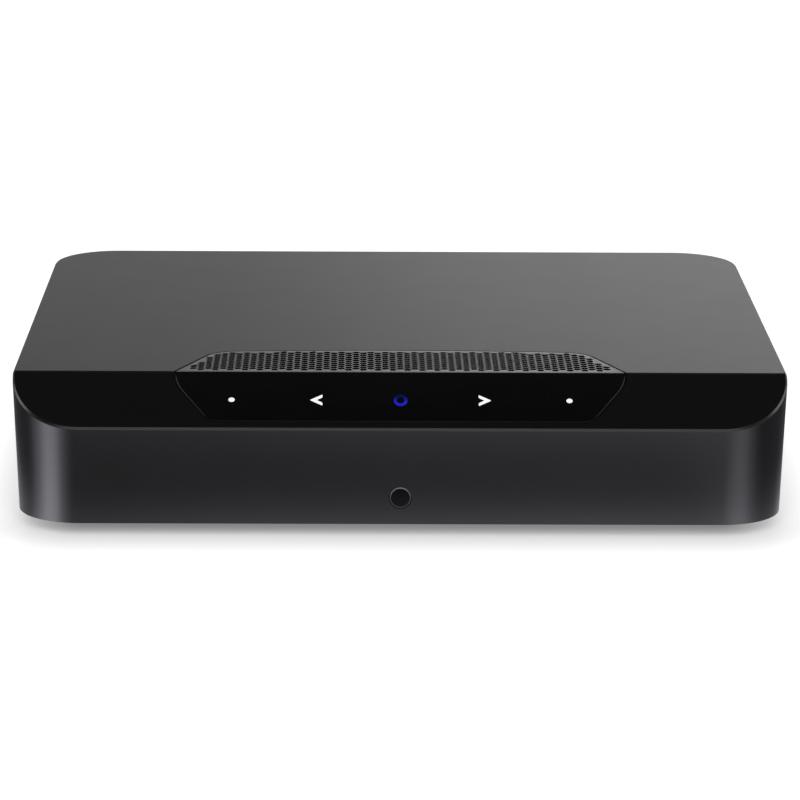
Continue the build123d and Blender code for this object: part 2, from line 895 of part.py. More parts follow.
# Power supply pieces, from the mains end to the transformer
transformer_x = power_right_x - transformer_width / 2 - part_gap
transformer_y = power_board_front + 2 * fixing_inset + transformer_depth / 2
with BuildPart() as transformer_core:
    with BuildSketch(Plane.XY.offset(board_top)):
        with Locations((transformer_x, transformer_y)):
            Rectangle(transformer_width, transformer_depth / 2)
    extrude(amount=transformer_height)
    with BuildSketch(upright(transformer_y + transformer_depth / 2)):
        with Locations((transformer_x, board_top + transformer_height / 2)):
            Rectangle(transformer_width - 2 * transformer_leg, transformer_height - 2 * transformer_leg)
    extrude(amount=transformer_depth, mode=Mode.SUBTRACT)
transformer_core.part.label = "transformer_core"

with BuildPart() as transformer_winding:
    with BuildSketch(Plane.XY.offset(board_top + transformer_leg + small_gap)):
        with Locations((transformer_x, transformer_y)):
            Rectangle(transformer_width - 2 * transformer_leg - fit_gap, transformer_depth)
    extrude(amount=transformer_height - 2 * transformer_leg - fit_gap)
    chamfer(transformer_winding.edges().filter_by(Axis.Z), board_corner)
transformer_winding.part.label = "transformer_winding"

bulk_x = -board_side_x + bulk_radius + part_gap
bulk_y = transformer_y + transformer_depth / 2 + bulk_radius + part_gap
bulk_can = capacitor_can(bulk_x, bulk_y, bulk_radius, bulk_height)
with BuildPart() as bulk_capacitor:
    add(bulk_can)
bulk_capacitor.part.label = "bulk_capacitor"

choke_y = bulk_y + bulk_radius + choke_radius + part_gap
with BuildPart() as mains_choke:
    with BuildSketch(Plane.XY.offset(board_top)):
        with Locations((bulk_x, choke_y)):
            Circle(choke_radius)
            Circle(choke_radius - choke_section, mode=Mode.SUBTRACT)
    extrude(amount=choke_section)
mains_choke.part.label = "mains_choke"

x_cap_y = choke_y + choke_radius + x_cap_depth / 2 + part_gap
with BuildPart() as x_capacitor:
    with BuildSketch(Plane.XY.offset(board_top)):
        with Locations((bulk_x, x_cap_y)):
            Rectangle(x_cap_width, x_cap_depth)
    extrude(amount=x_cap_height)
x_capacitor.part.label = "x_capacitor"

fuse_y = terminal_y - terminal_size
fuse_end_x = power_right_x - part_gap
with BuildPart() as fuse:
    with BuildSketch(Plane(origin=(fuse_end_x, fuse_y, board_top + fuse_radius), z_dir=(-1, 0, 0))):
        Circle(fuse_radius)
    extrude(amount=fuse_length)
fuse.part.label = "fuse"

rectifier_x = fuse_end_x - rectifier_width / 2
rectifier_y = x_cap_y - x_cap_depth / 2
with BuildPart() as rectifier:
    with BuildSketch(Plane.XY.offset(board_top)):
        with Locations((rectifier_x, rectifier_y)):
            Rectangle(rectifier_width, rectifier_depth)
    extrude(amount=rectifier_height)
rectifier.part.label = "rectifier"

plate_sink_y = transformer_y + (transformer_depth + plate_sink_length) / 2 + part_gap
with BuildPart() as power_heat_sink:
    with BuildSketch(Plane.XY.offset(board_top)):
        with Locations((fuse_end_x - plate_sink_thickness, plate_sink_y)):
            Rectangle(plate_sink_thickness, plate_sink_length)
    extrude(amount=plate_sink_height)
power_heat_sink.part.label = "power_heat_sink"


def wire(points, radius, bend):
    """Wire along straight runs joined by arcs, with few sides."""
    with BuildPart() as strand:
        with BuildLine() as route:
            FilletPolyline(*points, radius=bend)
        with BuildSketch(Plane(origin=points[0], z_dir=route.line % 0)):
            RegularPolygon(radius, wire_sides)
        sweep(path=route.line)
    return strand.part


# Wires: mains from inlet to terminal, supply from the power board to the main board
tail_end_y = panel_face_y + inlet_flange_thickness - inlet_body_length - pin_tail
terminal_top = board_top + terminal_size
mains_wire_set = []
for side in (-1, 1):
    pin_x = inlet_x + side * pin_pitch / 2
    wire_x = terminal_x + side * terminal_size / 4
    mains_wire_set.append(
        wire(
            [
                (pin_x, tail_end_y, inlet_height),
                (pin_x, tail_end_y - mains_wire_run, inlet_height),
                (
                    wire_x,
                    terminal_y + terminal_size,
                    terminal_top + mains_wire_rise + side * mains_wire_stagger,
                ),
                (wire_x, terminal_y, terminal_top + mains_wire_rise),
                (wire_x, terminal_y, terminal_top),
            ],
            wire_radius,
            mains_wire_bend,
        )
    )
with BuildPart() as mains_wires:
    add(mains_wire_set)
mains_wires.part.label = "mains_wires"

supply_y = rectifier_y - supply_wire_gap
supply_wire_set = []
for step in range(supply_wire_count):
    strand_y = supply_y - supply_wire_pitch * step
    strand_start_x = power_right_x - fixing_inset
    strand_end_x = board_left_x + fixing_inset
    supply_wire_set.append(
        wire(
            [
                (strand_start_x, strand_y, board_top),
                (strand_start_x, strand_y, board_top + supply_wire_rise),
                (strand_end_x, strand_y, board_top + supply_wire_rise),
                (strand_end_x, strand_y, board_top),
            ],
            wire_radius,
            supply_wire_bend,
        )
    )
with BuildPart() as supply_wires:
    add(supply_wire_set)
supply_wires.part.label = "supply_wires"


def stadium(x, z, grow):
    """Figure-eight mouth of the mains inlet: two lobes and a waist."""
    with BuildSketch() as mouth:
        with Locations((x, z)):
            with GridLocations(pin_pitch, 0, 2, 1):
                Circle(inlet_lobe_radius + grow)
            Rectangle(pin_pitch, inlet_waist + 2 * grow)
    return mouth.sketch


# Rear panel: moulded tray in the shell's notch, sunk so that plugs start inside the outline
tray_width = notch_width - 2 * fit_gap
tray_height = notch_top - fit_gap - base_top
tray_middle_z = base_top + tray_height / 2
tray_inner_width = tray_width - 2 * tray_wall
tray_inner_height = tray_height - 2 * tray_wall
with BuildPart() as rear_panel:
    with BuildSketch(upright(tray_rim_y)):
        with Locations((0, tray_middle_z)):
            Rectangle(tray_width, tray_height)
    extrude(amount=tray_rim_y - panel_back_y)
    fillet(rear_panel.edges().filter_by(Axis.Y).sort_by(Axis.Z)[-2:], notch_corner)
    with BuildSketch(upright(tray_rim_y)):
        with Locations((0, tray_middle_z)):
            RectangleRounded(tray_inner_width, tray_inner_height, notch_corner - tray_wall)
    extrude(amount=tray_rim_y - panel_face_y, mode=Mode.SUBTRACT)
    with BuildSketch(upright(panel_face_y)):
        with Locations((ethernet_x, board_top + ethernet_height / 2)):
            Rectangle(ethernet_width + 2 * fit_gap, ethernet_height + 2 * fit_gap)
        with Locations((usb_x, board_top + usb_height / 2)):
            Rectangle(usb_width + 2 * fit_gap, usb_height + 2 * fit_gap)
        with Locations((hdmi_x, board_top + hdmi_height / 2)):
            Rectangle(hdmi_width + 2 * fit_gap, hdmi_height + 2 * fit_gap)
        with Locations((line_x, line_axis_height)):
            Circle(line_collar_radius + fit_gap)
        with Locations((sub_x, jack_axis_height)):
            Circle(sleeve_bore + small_gap)
        with Locations((inlet_x, inlet_height)):
            Rectangle(inlet_body_width + 2 * fit_gap, inlet_body_height + 2 * fit_gap)
        with Locations(*post_centres):
            RegularPolygon(spigot_radius + small_gap, spigot_sides)
        with Locations((-lug_x, panel_screw_height), (lug_x, panel_screw_height)):
            RegularPolygon(screw_radius + screw_clearance, screw_sides)
    extrude(amount=panel_thickness, mode=Mode.SUBTRACT)
rear_panel.part.label = "rear_panel"

# Ethernet jack with a stepped mouth, and its eight spring contacts
mouth_floor = board_top + ethernet_floor + latch_height + latch_slot_height
mouth_middle = mouth_floor + ethernet_mouth_height / 2
with BuildPart() as ethernet_jack:
    with BuildSketch(upright(panel_face_y)):
        with Locations((ethernet_x, board_top + ethernet_height / 2)):
            Rectangle(ethernet_width, ethernet_height)
    extrude(amount=ethernet_length)
    with BuildSketch(upright(panel_face_y)):
        with Locations((ethernet_x, mouth_middle)):
            Rectangle(ethernet_mouth_width, ethernet_mouth_height)
        with Locations((ethernet_x, mouth_floor - latch_height / 2)):
            Rectangle(latch_width, latch_height)
        with Locations((ethernet_x, mouth_floor - latch_height - latch_slot_height / 2)):
            Rectangle(latch_slot_width, latch_slot_height)
    extrude(amount=ethernet_mouth_depth, mode=Mode.SUBTRACT)
ethernet_jack.part.label = "ethernet_jack"

contact_top = mouth_floor + ethernet_mouth_height
with BuildPart() as ethernet_contacts:
    with BuildSketch(upright(panel_face_y - (ethernet_mouth_depth - contact_length) / 2)):
        with Locations((ethernet_x, contact_top - contact_width / 2)):
            with GridLocations(contact_pitch, 0, contact_count, 1):
                Rectangle(contact_width, contact_width)
    extrude(amount=contact_length)
ethernet_contacts.part.label = "ethernet_contacts"

# USB and HDMI ports: folded metal shells, each around a plastic tongue on a back block
with BuildPart() as usb_port:
    with BuildSketch(upright(panel_face_y)):
        with Locations((usb_x, board_top + usb_height / 2)):
            Rectangle(usb_width, usb_height)
            Rectangle(usb_width - 2 * sheet, usb_height - 2 * sheet, mode=Mode.SUBTRACT)
    extrude(amount=usb_length)
usb_port.part.label = "usb_port"


def port_tongue(x, port_width, port_height, length, drop):
    """Plastic tongue on a block that fills the inner end of a port."""
    back_y = panel_face_y - length
    middle_z = board_top + port_height / 2
    with BuildPart() as tongue:
        with BuildSketch(upright(back_y)):
            with Locations((x, middle_z)):
                Rectangle(port_width - 2 * sheet - small_gap, port_height - 2 * sheet - small_gap)
        extrude(amount=-tongue_block)
        with BuildSketch(upright(back_y)):
            with Locations((x, middle_z + drop)):
                Rectangle(port_width - 4 * tongue_setback, tongue_thickness)
        extrude(amount=-length + tongue_setback)
    return tongue


usb_tongue = port_tongue(usb_x, usb_width, usb_height, usb_length, sheet * 2)
usb_tongue.part.label = "usb_tongue"

with BuildPart() as hdmi_port:
    with BuildSketch(upright(panel_face_y)) as hdmi_mouth:
        with Locations((hdmi_x, board_top + hdmi_height / 2)):
            Rectangle(hdmi_width, hdmi_height)
        chamfer(hdmi_mouth.vertices().sort_by(Axis.Z)[:2], hdmi_chamfer)
        offset(amount=-sheet, mode=Mode.SUBTRACT)
    extrude(amount=hdmi_length)
hdmi_port.part.label = "hdmi_port"

hdmi_tongue = port_tongue(hdmi_x, hdmi_width - 2 * hdmi_chamfer, hdmi_height, hdmi_length, 0)
hdmi_tongue.part.label = "hdmi_tongue"

# Line input jack: block with a collar through the panel and a 3.5 mm bore
with BuildPart() as line_in_jack:
    with BuildSketch(upright(panel_back_y)):
        with Locations((line_x, (board_top + line_axis_height + line_body / 2) / 2)):
            Rectangle(line_body, line_axis_height + line_body / 2 - board_top)
    extrude(amount=line_body_length)
    with BuildSketch(upright(panel_face_y)):
        with Locations((line_x, line_axis_height)):
            Circle(line_collar_radius)
    extrude(amount=panel_thickness)
    with BuildSketch(upright(panel_face_y)):
        with Locations((line_x, line_axis_height)):
            Circle(line_bore_radius)
    extrude(amount=line_body_length, mode=Mode.SUBTRACT)
line_in_jack.part.label = "line_in_jack"

# Subwoofer output: moulded body whose bored core passes the panel, and the metal sleeve round it
sleeve_end_y = panel_face_y + sub_sleeve_length
with BuildPart() as subwoofer_jack:
    with BuildSketch(upright(panel_back_y)):
        with Locations((sub_x, (board_top + jack_axis_height + sub_body / 2) / 2)):
            Rectangle(sub_body, jack_axis_height + sub_body / 2 - board_top)
    extrude(amount=sub_body_length)
    with BuildSketch(upright(sleeve_end_y)):
        with Locations((sub_x, jack_axis_height)):
            Circle(sleeve_bore)
    extrude(amount=sleeve_end_y - panel_back_y)
    with BuildSketch(upright(sleeve_end_y)):
        with Locations((sub_x, jack_axis_height)):
            Circle(sub_core_bore)
    extrude(amount=sub_sleeve_length, mode=Mode.SUBTRACT)
subwoofer_jack.part.label = "subwoofer_jack"

with BuildPart() as subwoofer_sleeve:
    with BuildSketch(upright(sleeve_end_y)):
        with Locations((sub_x, jack_axis_height)):
            Circle(sub_sleeve_radius)
            Circle(sleeve_bore, mode=Mode.SUBTRACT)
    extrude(amount=sub_sleeve_length)
subwoofer_sleeve.part.label = "subwoofer_sleeve"

# Mains inlet: flanged body with a figure-eight mouth, and two round pins
inlet_face_y = panel_face_y + inlet_flange_thickness
with BuildPart() as mains_inlet:
    with BuildSketch(upright(inlet_face_y)):
        with Locations((inlet_x, inlet_height)):
            RectangleRounded(inlet_flange_width, inlet_flange_height, board_corner)
    extrude(amount=inlet_flange_thickness)
    with BuildSketch(upright(inlet_face_y)):
        with Locations((inlet_x, inlet_height)):
            Rectangle(inlet_body_width, inlet_body_height)
    extrude(amount=inlet_body_length)
    with BuildSketch(upright(inlet_face_y)):
        add(stadium(inlet_x, inlet_height, 0))
    extrude(amount=inlet_depth, mode=Mode.SUBTRACT)
    with BuildSketch(upright(inlet_face_y)):
        with Locations((inlet_x, inlet_height)):
            with GridLocations(pin_pitch, 0, 2, 1):
                Circle(pin_radius)
    extrude(amount=inlet_body_length, mode=Mode.SUBTRACT)
mains_inlet.part.label = "mains_inlet"

with BuildPart() as mains_pins:
    with BuildSketch(upright(inlet_face_y - pin_setback)):
        with Locations((inlet_x, inlet_height)):
            with GridLocations(pin_pitch, 0, 2, 1):
                Circle(pin_radius)
    extrude(amount=inlet_body_length - pin_setback + pin_tail)
mains_pins.part.label = "mains_pins"

# Speaker binding posts: threaded cores through insulators, nuts and tabs behind the panel
shoulder_y = panel_face_y + collar_thickness
washer_y = shoulder_y + shoulder_thickness + washer_gap
knob_y = washer_y + washer_thickness + knob_gap
insulator_y = panel_back_y - collar_thickness
tab_y = insulator_y - tab_thickness
nut_y = tab_y - nut_thickness
tab_top = jack_axis_height + tab_width / 2


def post_core(x):
    """Metal post with a hexagon shoulder, a wire hole across it and a banana bore from its end.

    Behind the shoulder it is a flatted rod, so that collar, insulator and tab can't turn on it.
    """
    core_end = tail_y - post_setback
    core_root = insulator_y - post_inner_length
    wire_hole_y = shoulder_y + shoulder_thickness + 2 * wire_hole_radius
    with BuildPart() as core:
        with BuildSketch(upright(core_end)):
            with Locations((x, jack_axis_height)):
                Circle(post_radius)
        extrude(amount=core_end - shoulder_y)
        with BuildSketch(upright(shoulder_y + shoulder_thickness)):
            with Locations((x, jack_axis_height)):
                RegularPolygon(shoulder_radius, 6)
        extrude(amount=shoulder_thickness)
        with BuildSketch(upright(shoulder_y)):
            with Locations((x, jack_axis_height)):
                RegularPolygon(post_radius, rod_sides)
        extrude(amount=shoulder_y - core_root)
        with BuildSketch(upright(core_end)):
            with Locations((x, jack_axis_height)):
                Circle(post_bore)
        extrude(amount=post_bore_depth, mode=Mode.SUBTRACT)
        with BuildSketch(Plane(origin=(x, wire_hole_y, jack_axis_height))):
            RegularPolygon(wire_hole_radius, rod_sides)
        extrude(amount=2 * post_radius, both=True, mode=Mode.SUBTRACT)
    return core.part


core_set = [post_core(x) for x in post_places]
with BuildPart() as binding_posts:
    add(core_set)
binding_posts.part.label = "binding_posts"

with BuildPart() as post_collars:
    with BuildSketch(upright(shoulder_y)):
        with Locations(*post_centres):
            Circle(collar_radius)
    extrude(amount=collar_thickness)
    with BuildSketch(upright(panel_face_y)):
        with Locations(*post_centres):
            RegularPolygon(spigot_radius, spigot_sides)
    extrude(amount=panel_thickness)
    with BuildSketch(upright(shoulder_y)):
        with Locations(*post_centres):
            RegularPolygon(post_radius + running_gap, rod_sides)
    extrude(amount=collar_thickness + panel_thickness, mode=Mode.SUBTRACT)
post_collars.part.label = "post_collars"

with BuildPart() as post_insulators:
    with BuildSketch(upright(panel_back_y)):
        with Locations(*post_centres):
            Rectangle(2 * collar_radius, 2 * collar_radius)
            RegularPolygon(post_radius + running_gap, rod_sides, mode=Mode.SUBTRACT)
    extrude(amount=collar_thickness)
post_insulators.part.label = "post_insulators"

with BuildPart() as post_tabs:
    with BuildSketch(upright(insulator_y)):
        with Locations(*[(x, (tab_top + board_top) / 2) for x in post_places]):
            Rectangle(tab_width, tab_top - board_top)
        with Locations(*post_centres):
            RegularPolygon(post_radius + running_gap, rod_sides, mode=Mode.SUBTRACT)
    extrude(amount=tab_thickness)
post_tabs.part.label = "post_tabs"

with BuildPart() as post_nuts:
    with BuildSketch(upright(tab_y)):
        with Locations(*post_centres):
            RegularPolygon(nut_width / 2, 6, major_radius=False)
            RegularPolygon(post_radius + running_gap, rod_sides, mode=Mode.SUBTRACT)
    extrude(amount=nut_thickness)
post_nuts.part.label = "post_nuts"


def clamp_washer(x):
    """Washer that rides on the post in front of the knob and clamps bare wire."""
    with BuildPart() as washer:
        with BuildSketch(upright(washer_y + washer_thickness)):
            with Locations((x, jack_axis_height)):
                Circle(washer_radius)
                Circle(post_radius + running_gap, mode=Mode.SUBTRACT)
        extrude(amount=washer_thickness)
    return washer


def post_knob(x):
    """Knob with a flute in each corner that screws along the post. The banana bore stays open."""
    with BuildPart() as knob:
        with BuildSketch(upright(tail_y)):
            with Locations((x, jack_axis_height)):
                RegularPolygon(knob_radius, flute_count)
        extrude(amount=tail_y - knob_y)
        chamfer(knob.faces().sort_by(Axis.Y)[-1].edges(), knob_chamfer)
        with BuildSketch(upright(tail_y)):
            with Locations((x, jack_axis_height)):
                with PolarLocations(knob_radius, flute_count):
                    RegularPolygon(flute_size, 4)
                Circle(post_radius + running_gap)
        extrude(amount=tail_y - knob_y, mode=Mode.SUBTRACT)
    return knob


moving_pieces = []
for post_name, x in zip(("right_plus", "right_minus", "left_plus", "left_minus"), post_places):
    washer_piece = clamp_washer(x)
    washer_piece.part.label = f"clamp_washer_{post_name}"
    knob_piece = post_knob(x)
    knob_piece.part.label = f"post_knob_{post_name}"
    moving_pieces += [washer_piece, knob_piece]

pieces = [
    top_shell,
    inlay_frame,
    vent_grille,
    touch_panel,
    light_guide,
    touch_board,
    ribbon_cable,
    ir_window,
    ir_receiver,
    base_plate,
    feet,
    case_screws,
    board_screws,
    rear_panel_screws,
    main_board,
    power_board,
    amplifier_chips,
    heat_sink,
    output_inductors,
    filter_capacitors,
    supply_capacitors,
    streaming_module,
    module_shield,
    wifi_antennas,
    antenna_leads,
    transformer_core,
    transformer_winding,
    bulk_capacitor,
    mains_choke,
    x_capacitor,
    fuse,
    rectifier,
    power_heat_sink,
    mains_wires,
    supply_wires,
    rear_panel,
    ethernet_jack,
    ethernet_contacts,
    usb_port,
    usb_tongue,
    hdmi_port,
    hdmi_tongue,
    line_in_jack,
    subwoofer_jack,
    subwoofer_sleeve,
    mains_inlet,
    mains_pins,
    binding_posts,
    post_collars,
    post_insulators,
    post_tabs,
    post_nuts,
] + moving_pieces
for piece in pieces:
    export_step(piece.part, f"parts/{piece.part.label}.step")
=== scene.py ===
"""Streaming amplifier: the finish of every piece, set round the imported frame, with a stage to show it."""

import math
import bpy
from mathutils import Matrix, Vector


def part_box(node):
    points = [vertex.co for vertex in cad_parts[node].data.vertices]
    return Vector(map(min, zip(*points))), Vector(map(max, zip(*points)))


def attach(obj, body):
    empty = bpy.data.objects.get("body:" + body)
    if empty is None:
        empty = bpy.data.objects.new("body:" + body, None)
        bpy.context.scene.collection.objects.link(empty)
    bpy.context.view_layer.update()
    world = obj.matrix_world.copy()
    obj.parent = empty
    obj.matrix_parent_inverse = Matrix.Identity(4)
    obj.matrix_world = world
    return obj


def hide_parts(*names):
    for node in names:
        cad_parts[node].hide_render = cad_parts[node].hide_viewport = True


bl_info = {
    "name": "Streaming amplifier",
    "version": (1, 0, 0),
    "blender": (4, 5, 0),
    "location": "View3D > Sidebar > Amplifier",
    "description": "Dresses a streaming amplifier: shell, grille, touch panel, sockets and speaker posts",
    "category": "Add Mesh",
}

import bmesh
import bpy
from mathutils import Matrix, Vector

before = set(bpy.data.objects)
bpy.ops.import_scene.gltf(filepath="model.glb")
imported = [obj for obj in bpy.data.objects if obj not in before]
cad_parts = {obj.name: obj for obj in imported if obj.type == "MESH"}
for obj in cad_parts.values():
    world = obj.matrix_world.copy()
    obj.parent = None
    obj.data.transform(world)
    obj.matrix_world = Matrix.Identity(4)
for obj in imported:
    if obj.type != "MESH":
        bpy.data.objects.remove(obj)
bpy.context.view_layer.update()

MM = 0.001
POSTS = ("right_plus", "right_minus", "left_plus", "left_minus")
SHELL_LOW, SHELL_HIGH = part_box("top_shell")
GRILLE_LOW, GRILLE_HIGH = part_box("vent_grille")
PANEL_LOW, PANEL_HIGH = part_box("touch_panel")
WINDOW_LOW, WINDOW_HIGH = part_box("ir_window")

# Loose triangles of a node: how near their corners are merged, and how flat a face is made whole
MERGE_DISTANCE = 0.001 * MM
FLAT_ANGLE = math.radians(0.4)

# Front corners of the shell: axis in plan, radius of the drafted cone at the lower edge and its slope, how
# near a point counts as on it, how far up its faces may look, and how far a strip may lean
CORNER_AXIS = Vector((90.0 * MM, -77.0 * MM))
CONE_RADIUS = 18.20 * MM
CONE_SLOPE = 0.0333
CONE_TOLERANCE = 0.02 * MM
CONE_NORMAL_LIMIT = 0.2
STRIP_TWIST = math.radians(2.5)

# Grille: turn of a hole, when a face looks up, how near counts as at the top or the front, and the share
# of the border that a hole keeps clear
HOLE_TURN = math.radians(30)
FACING_UP = 0.99
NEAR_TOP = 0.05 * MM
NEAR_FRONT = 0.01 * MM
HOLE_MARGIN = 0.8

# Touch panel: how far under its upper edge its gloss is full
FULL_GLOSS_DROP = 1 * MM

# Icons: half height of the white's fade, ends of the ring's fade, how dim it ends, and the share of an
# arrow's cut end that its corners are rounded by
WHITE_FADE = 2 * MM
RING_FADE_LOW = -0.35 * MM
RING_FADE_HIGH = 0.7 * MM
RING_DIM = 0.14
CHEVRON_SOFTNESS = 0.3

# Infrared window: over how much width the painted highlight on its rim begins
RIM_HIGHLIGHT_BLEND = 0.15 * MM

# Uneven finishes: grains of the fine noise across one grain of the cloudy one
GRAINS_PER_CLOUD = 40

# Screws: pairs of radius and height in millimetres from the tip to the rim of the head's face, and how
# much of the cross recess is left at its bottom
COUNTERSUNK_SCREW = ((0, -12), (1.2, -12), (1.5, -11.6), (1.5, -1.4), (2.9, -0.1), (2.8, 0))
PAN_HEAD_SCREW = (
    (0, -8.8),
    (1.2, -8.8),
    (1.5, -8.4),
    (1.5, -1.8),
    (2.9, -1.8),
    (2.9, -0.8),
    (2.6, -0.3),
    (2.1, 0),
)
RECESS_TAPER = 0.7

# Speaker posts: pitch of the thread, and the width of a band in a wave texture of scale 1
THREAD_PITCH = 0.75 * MM
WAVE_BAND = math.pi / 10


# Settings


def length_property(name, description, size_mm):
    """Property for a length, with its default in millimetres."""
    return bpy.props.FloatProperty(name=name, description=description, default=size_mm * MM, unit="LENGTH")


def colour_property(name, description, default):
    """Property for a colour."""
    return bpy.props.FloatVectorProperty(name=name, description=description, default=default, subtype="COLOR")


def power_property(name, description, watts):
    """Property for a lamp's power."""
    return bpy.props.FloatProperty(name=name, description=description, default=watts, unit="POWER")


class AmplifierSizes(bpy.types.PropertyGroup):
    """Sizes that the looks add to the frame."""

    facet_tilt: bpy.props.FloatProperty(
        name="Facet tilt",
        description="Slope of the facet below the top",
        default=math.radians(29.3),
        subtype="ANGLE",
    )
    mitre_gap: length_property("Mitre gap", "From the crease to the grille's front edge", 0.075)
    hole_pitch: length_property("Hole pitch", "Distance between holes along a grille column", 2.42)
    web_width: length_property("Web width", "Metal left between two grille holes", 0.46)
    grille_border: length_property("Grille border", "Plain border round the holes", 0.55)
    plate_thickness: length_property("Plate thickness", "Thickness of the grille's plate", 1.4)
    icon_spacing: length_property("Icon spacing", "Between two icons on the touch panel", 23.7)
    icon_drop: length_property("Icon drop", "From the crease down the facet to the icons", 11.5)
    dot_radius: length_property("Dot radius", "Radius of the two outer dots", 0.88)
    chevron_width: length_property("Chevron width", "Width of an arrow icon", 3.6)
    chevron_height: length_property("Chevron height", "Height of an arrow icon", 4.5)
    chevron_end: length_property("Chevron end", "Height of each arm's cut end", 1.2)
    ring_radius: length_property("Ring radius", "Outer radius of the glowing ring", 1.95)
    ring_width: length_property("Ring width", "Line width of the glowing ring", 0.85)
    ring_stretch: bpy.props.FloatProperty(
        name="Ring stretch", description="Height of the ring's glow over its width", default=1.2
    )
    screw_head: length_property("Screw head", "Radius of a screw's head", 2.9)
    recess_length: length_property("Recess length", "Across the cross recess of a screw", 2.7)
    recess_width: length_property("Recess width", "Width of one arm of the recess", 0.8)
    recess_depth: length_property("Recess depth", "Depth of the cross recess", 1.0)
    icon_proud: length_property("Icon thickness", "How far the lit icons stand over the glass", 0.03)
    window_radius: length_property("Window radius", "Radius of the visible disc of the window", 3.0)
    # Width of the painted highlight round the window's edge
    window_rim_highlight: length_property("Window rim", "Width of the window's paler rim", 0.38)


class AmplifierColours(bpy.types.PropertyGroup):
    """Colours of the outer finishes."""

    shell: colour_property("Shell", "Satin coat of the shell", (0.0041, 0.0041, 0.0042))
    glass: colour_property("Touch panel", "Gloss black of the touch panel", (0.0024, 0.0024, 0.0025))
    grille: colour_property("Grille", "Coated metal of the grille", (0.235, 0.235, 0.24))
    plastic: colour_property("Plastic", "Black moulded plastic", (0.011, 0.011, 0.012))
    knob_red: colour_property("Red knob", "Knobs of the plus posts", (0.42, 0.012, 0.010))
    icon_blue: colour_property("Ring light", "Glow of the middle ring", (0.012, 0.016, 0.52))


def sizes():
    return bpy.context.scene.amplifier_sizes


def colours():
    return bpy.context.scene.amplifier_colours


# Materials


def set_inputs(material, node, inputs):
    """Gives each input of a node, by name or number, its value or a link from a socket."""
    for name, value in inputs.items():
        if isinstance(value, bpy.types.NodeSocket):
            material.node_tree.links.new(value, node.inputs[name])
        else:
            node.inputs[name].default_value = value


def add_node(material, kind, inputs, **settings):
    """New node of a material or world, with its settings and inputs."""
    node = material.node_tree.nodes.new(kind)
    for name, value in settings.items():
        setattr(node, name, value)
    set_inputs(material, node, inputs)
    return node


def empty_material(name):
    """Node material that holds only its output and the object coordinates."""
    material = bpy.data.materials.new(name)
    material.use_nodes = True
    material.node_tree.nodes.clear()
    output = add_node(material, "ShaderNodeOutputMaterial", {})
    place = add_node(material, "ShaderNodeTexCoord", {}).outputs["Object"]
    return material, output, place


def shaded_material(name):
    """Node material with one shader, and the object coordinates."""
    material, output, place = empty_material(name)
    shader = add_node(material, "ShaderNodeBsdfPrincipled", {})
    set_inputs(material, output, {"Surface": shader.outputs["BSDF"]})
    return material, shader, place


def add_noise(material, place, scale, detail=2.0, stretch=(1, 1, 1)):
    """Noise with scale in grains per metre, drawn out by stretch."""
    mapping = add_node(material, "ShaderNodeMapping", {"Vector": place, "Scale": stretch})
    inputs = {"Vector": mapping.outputs["Vector"], "Scale": scale, "Detail": detail}
    return add_node(material, "ShaderNodeTexNoise", inputs).outputs["Fac"]


def add_wave(material, place, scale, direction):
    """Even ridges along one direction."""
    inputs = {"Vector": place, "Scale": scale}
    return add_node(material, "ShaderNodeTexWave", inputs, bands_direction=direction).outputs["Fac"]


def add_range(material, source, low, high, start=0.3, end=0.7):
    """Maps start to end onto low to high. The defaults are the middle range of a noise."""
    inputs = {"Value": source, "From Min": start, "From Max": end, "To Min": low, "To Max": high}
    return add_node(material, "ShaderNodeMapRange", inputs).outputs["Result"]


def add_colours(material, source, low, high, start=0.3, end=0.7):
    """Colour ramp between two colours."""
    node = add_node(material, "ShaderNodeValToRGB", {"Fac": source})
    for element, position, colour in zip(node.color_ramp.elements, (start, end), (low, high)):
        element.position = position
        element.color = (*colour, 1)
    return node.outputs["Color"]


def add_axis(material, place, axis):
    """One coordinate of a place."""
    return add_node(material, "ShaderNodeSeparateXYZ", {"Vector": place}).outputs[axis]


def add_math(material, operation, first, second):
    """One calculation with two sockets, or with a socket and a number."""
    inputs = {0: first, 1: second}
    return add_node(material, "ShaderNodeMath", inputs, operation=operation).outputs["Value"]


def add_vector_step(material, source, operation, value=(0, 0, 0)):
    """One vector operation with a constant."""
    node = add_node(material, "ShaderNodeVectorMath", {0: source, 1: value}, operation=operation)
    return node.outputs["Value" if operation in ("LENGTH", "DISTANCE", "DOT_PRODUCT") else "Vector"]


def add_bump(material, shader, source, strength, depth):
    """Bump of a real depth in metres."""
    bump = add_node(material, "ShaderNodeBump", {"Height": source, "Strength": strength, "Distance": depth})
    set_inputs(material, shader, {"Normal": bump.outputs["Normal"]})


def shade(colour, factor):
    """A colour made darker or lighter."""
    return tuple(min(1.0, channel * factor) for channel in colour)


def surface(name, colour, roughness, grain, depth, metallic=0.0, spread=0.12, stretch=(1, 1, 1), vary=0.12):
    """General finish: a bump with grains per metre and a depth in millimetres, and a cloudy colour."""
    material, shader, place = shaded_material(name)
    fine = add_noise(material, place, grain, 3.0, stretch)
    broad = add_noise(material, place, grain / GRAINS_PER_CLOUD)
    tint = add_colours(material, broad, shade(colour, 1 - spread), shade(colour, 1 + spread))
    uneven = add_range(material, broad, roughness * (1 - vary), roughness * (1 + vary))
    set_inputs(material, shader, {"Base Color": tint, "Roughness": uneven, "Metallic": metallic})
    add_bump(material, shader, fine, 0.5, depth * MM)
    return material, shader


def matt_material(name, colour):
    """Dull black that mirrors next to nothing."""
    material, shader = surface(name, colour, 0.6, 3200, 0.010)
    set_inputs(material, shader, {"Specular IOR Level": 0.12})
    return material


def coat_material():
    """Fine satin paint, even enough that it mirrors the room as a smooth haze."""
    return surface("shell_coat", colours().shell, 0.28, 2600, 0.002, spread=0.04, vary=0.02)[0]


